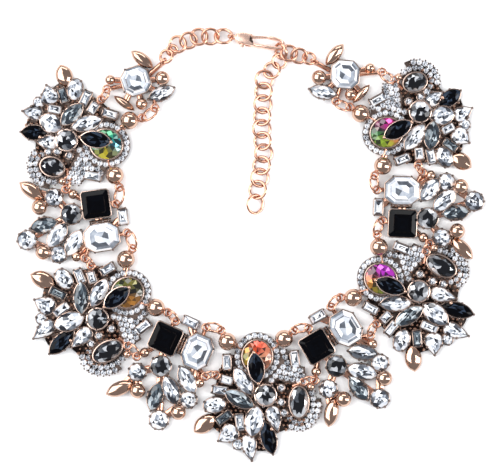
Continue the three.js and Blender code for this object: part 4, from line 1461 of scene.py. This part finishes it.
wire_piece("joint_rings", jump_rings, jump_wire, *numbered("jump_ring", 18))
wire_piece("casting_eyes", eyes, eye_wire)
wire_piece("left_chain_links", link_places(left_links), polished_wire, "neck_chain_left")
wire_piece("right_chain_links", link_places([hub, *right_links]), polished_wire,
           "neck_chain_right")
wire_piece("extension_links", link_places(extension_links), polished_wire, "extension_chain")

# Lobster clasp. Points are shares of its length and width, from its eye.
hook_outline = [
    (0.37, -0.5), (0.6, -0.52), (0.84, -0.5), (0.96, -0.32), (1, 0), (0.96, 0.32), (0.84, 0.5),
    (0.68, 0.5), (0.66, 0.3), (0.84, 0.27), (0.92, 0.18), (0.93, 0), (0.92, -0.18), (0.84, -0.25),
    (0.6, -0.24), (0.44, -0.27), (0.38, -0.26),
]
cheek_outline = [
    (0.075, -0.14), (0.1, -0.34), (0.2, -0.46), (0.42, -0.5), (0.44, -0.3), (0.36, -0.1),
    (0.37, 0.2), (0.36, 0.42), (0.2, 0.46), (0.1, 0.32), (0.075, 0.14),
]
pin_share = 0.24
back_outline = [(0.05, -0.12), (0.125, -0.36), (0.125, 0.36), (0.05, 0.12)]
lever_outline = [
    (0.17, 0), (0.2, -0.15), (0.17, -0.6), (0.2, -0.7), (0.25, -0.66), (0.28, -0.2), (0.32, 0),
    (0.44, 0.17), (0.645, 0.29), (0.645, 0.44), (0.42, 0.37), (0.24, 0.23), (0.19, 0.16),
]


def clasp_slab(shape, outline, low, high, inset, low_round, high_round):
    """A plate of the clasp, rounded by its own height on each side."""
    points = smooth_loop(np.array(outline) * np.array([clasp_length, clasp_width]), 3)
    turns = np.linspace(0, math.pi / 2, 5)
    rings = [with_height(grown(points, -inset * low_round * (1 - math.sin(a))),
                         low + low_round * (1 - math.cos(a))) for a in turns]
    rings += [with_height(grown(points, -inset * (1 - math.cos(a))),
                          high - high_round * (1 - math.sin(a))) for a in turns]
    solid, faces = loft(rings)
    shape.add((moved(solid, clasp_frame), faces))


clasp = Shape()
clasp_slab(clasp, hook_outline, -hook_half, hook_half, 0.38, 0.5, 0.8)
clasp_slab(clasp, cheek_outline, slot_half, cheek_top, 0.7, 0.05, 0.8)
clasp_slab(clasp, cheek_outline, -cheek_half, -slot_half, 0.3, 0.3, 0.05)
clasp_slab(clasp, back_outline, -cheek_half, cheek_half, 0.3, 0.3, 0.3)
pin = oval_outline(16) * 2 * pin_radius + np.array([pin_share * clasp_length, 0])
pin_end = grown(pin, -0.1)
pin_points, pin_faces = loft([
    with_height(pin_end, -cheek_half - 0.15), with_height(pin, -cheek_half),
    with_height(pin, cheek_half), with_height(pin_end, cheek_half + 0.15),
])
clasp.add((moved(pin_points, clasp_frame), pin_faces))
dress(clasp.make("clasp_body_cast", [lightened_clasp_gold]), "rose_gold", "clasp_body")
lever = Shape()
clasp_slab(lever, lever_outline, -lever_half, lever_half, 0.25, 0.25, 0.25)
dress(lever.make("clasp_lever_cast", [lightened_clasp_gold]), "rose_gold", "clasp_lever", body="lever")
eye_turn, _ = rolled_frame(clasp_eye, clasp_turn[:, 0], clasp_eye_roll)
wire_piece("clasp_eye", [ring_place(clasp_eye, eye_turn, eye_hole + eye_wall)], eye_wire)

# Floor
floor_finish = Finish("white_floor")
floor_tone = floor_finish.noise(3, 1.0) * 0.01 + 0.92
floor_colour = floor_finish.ramp(floor_tone, [(0, (0.9, 0.9, 0.9)), (1, (0.95, 0.95, 0.95))])
floor_material = floor_finish.surface(Base_Color=floor_colour, Roughness=0.9)
floor_half = 2
floor_level = -0.0001
floor_mesh = bpy.data.meshes.new("floor")
floor_mesh.from_pydata([(x * floor_half, y * floor_half, floor_level)
                        for x, y in ((-1, -1), (1, -1), (1, 1), (-1, 1))], [], [(0, 1, 2, 3)])
floor_mesh.materials.append(floor_material)
floor = shown("floor", floor_mesh)

# Camera straight above, so far off that the necklace shows almost without perspective
view_height = 1.2
view_width = 0.20496
view_level = 0.003
view_centre = (-0.0028, 0.00524)
camera_data = bpy.data.cameras.new("camera")
camera_data.sensor_width = 36
camera_data.sensor_fit = "HORIZONTAL"
camera_data.lens = 36 * (view_height - view_level) / view_width
camera = bpy.data.objects.new("camera", camera_data)
camera.location = (*view_centre, view_height)
bpy.context.scene.collection.objects.link(camera)
bpy.context.scene.camera = camera


def softbox(name, place, size, power):
    """Soft light aimed at the middle of the necklace."""
    light = bpy.data.lights.new(name, "AREA")
    light.shape = "RECTANGLE"
    light.size, light.size_y = size
    light.energy = power
    box = bpy.data.objects.new(name, light)
    box.location = place
    box.rotation_euler = (-Vector(place)).to_track_quat("-Z", "Y").to_euler()
    bpy.context.scene.collection.objects.link(box)


softbox("left_box", (-0.75, 0.2, 0.85), (1.3, 1.3), 20)
softbox("right_box", (0.9, -0.15, 0.7), (0.4, 1.2), 12)
softbox("far_box", (0.1, 1.15, 0.6), (1.3, 0.35), 6)

world = bpy.data.worlds.new("studio")
world.use_nodes = True
background = world.node_tree.nodes["Background"]
background.inputs["Color"].default_value = (0.85, 0.87, 0.95, 1)
background.inputs["Strength"].default_value = 0.42
bpy.context.scene.world = world
bpy.context.scene.view_settings.view_transform = "Standard"
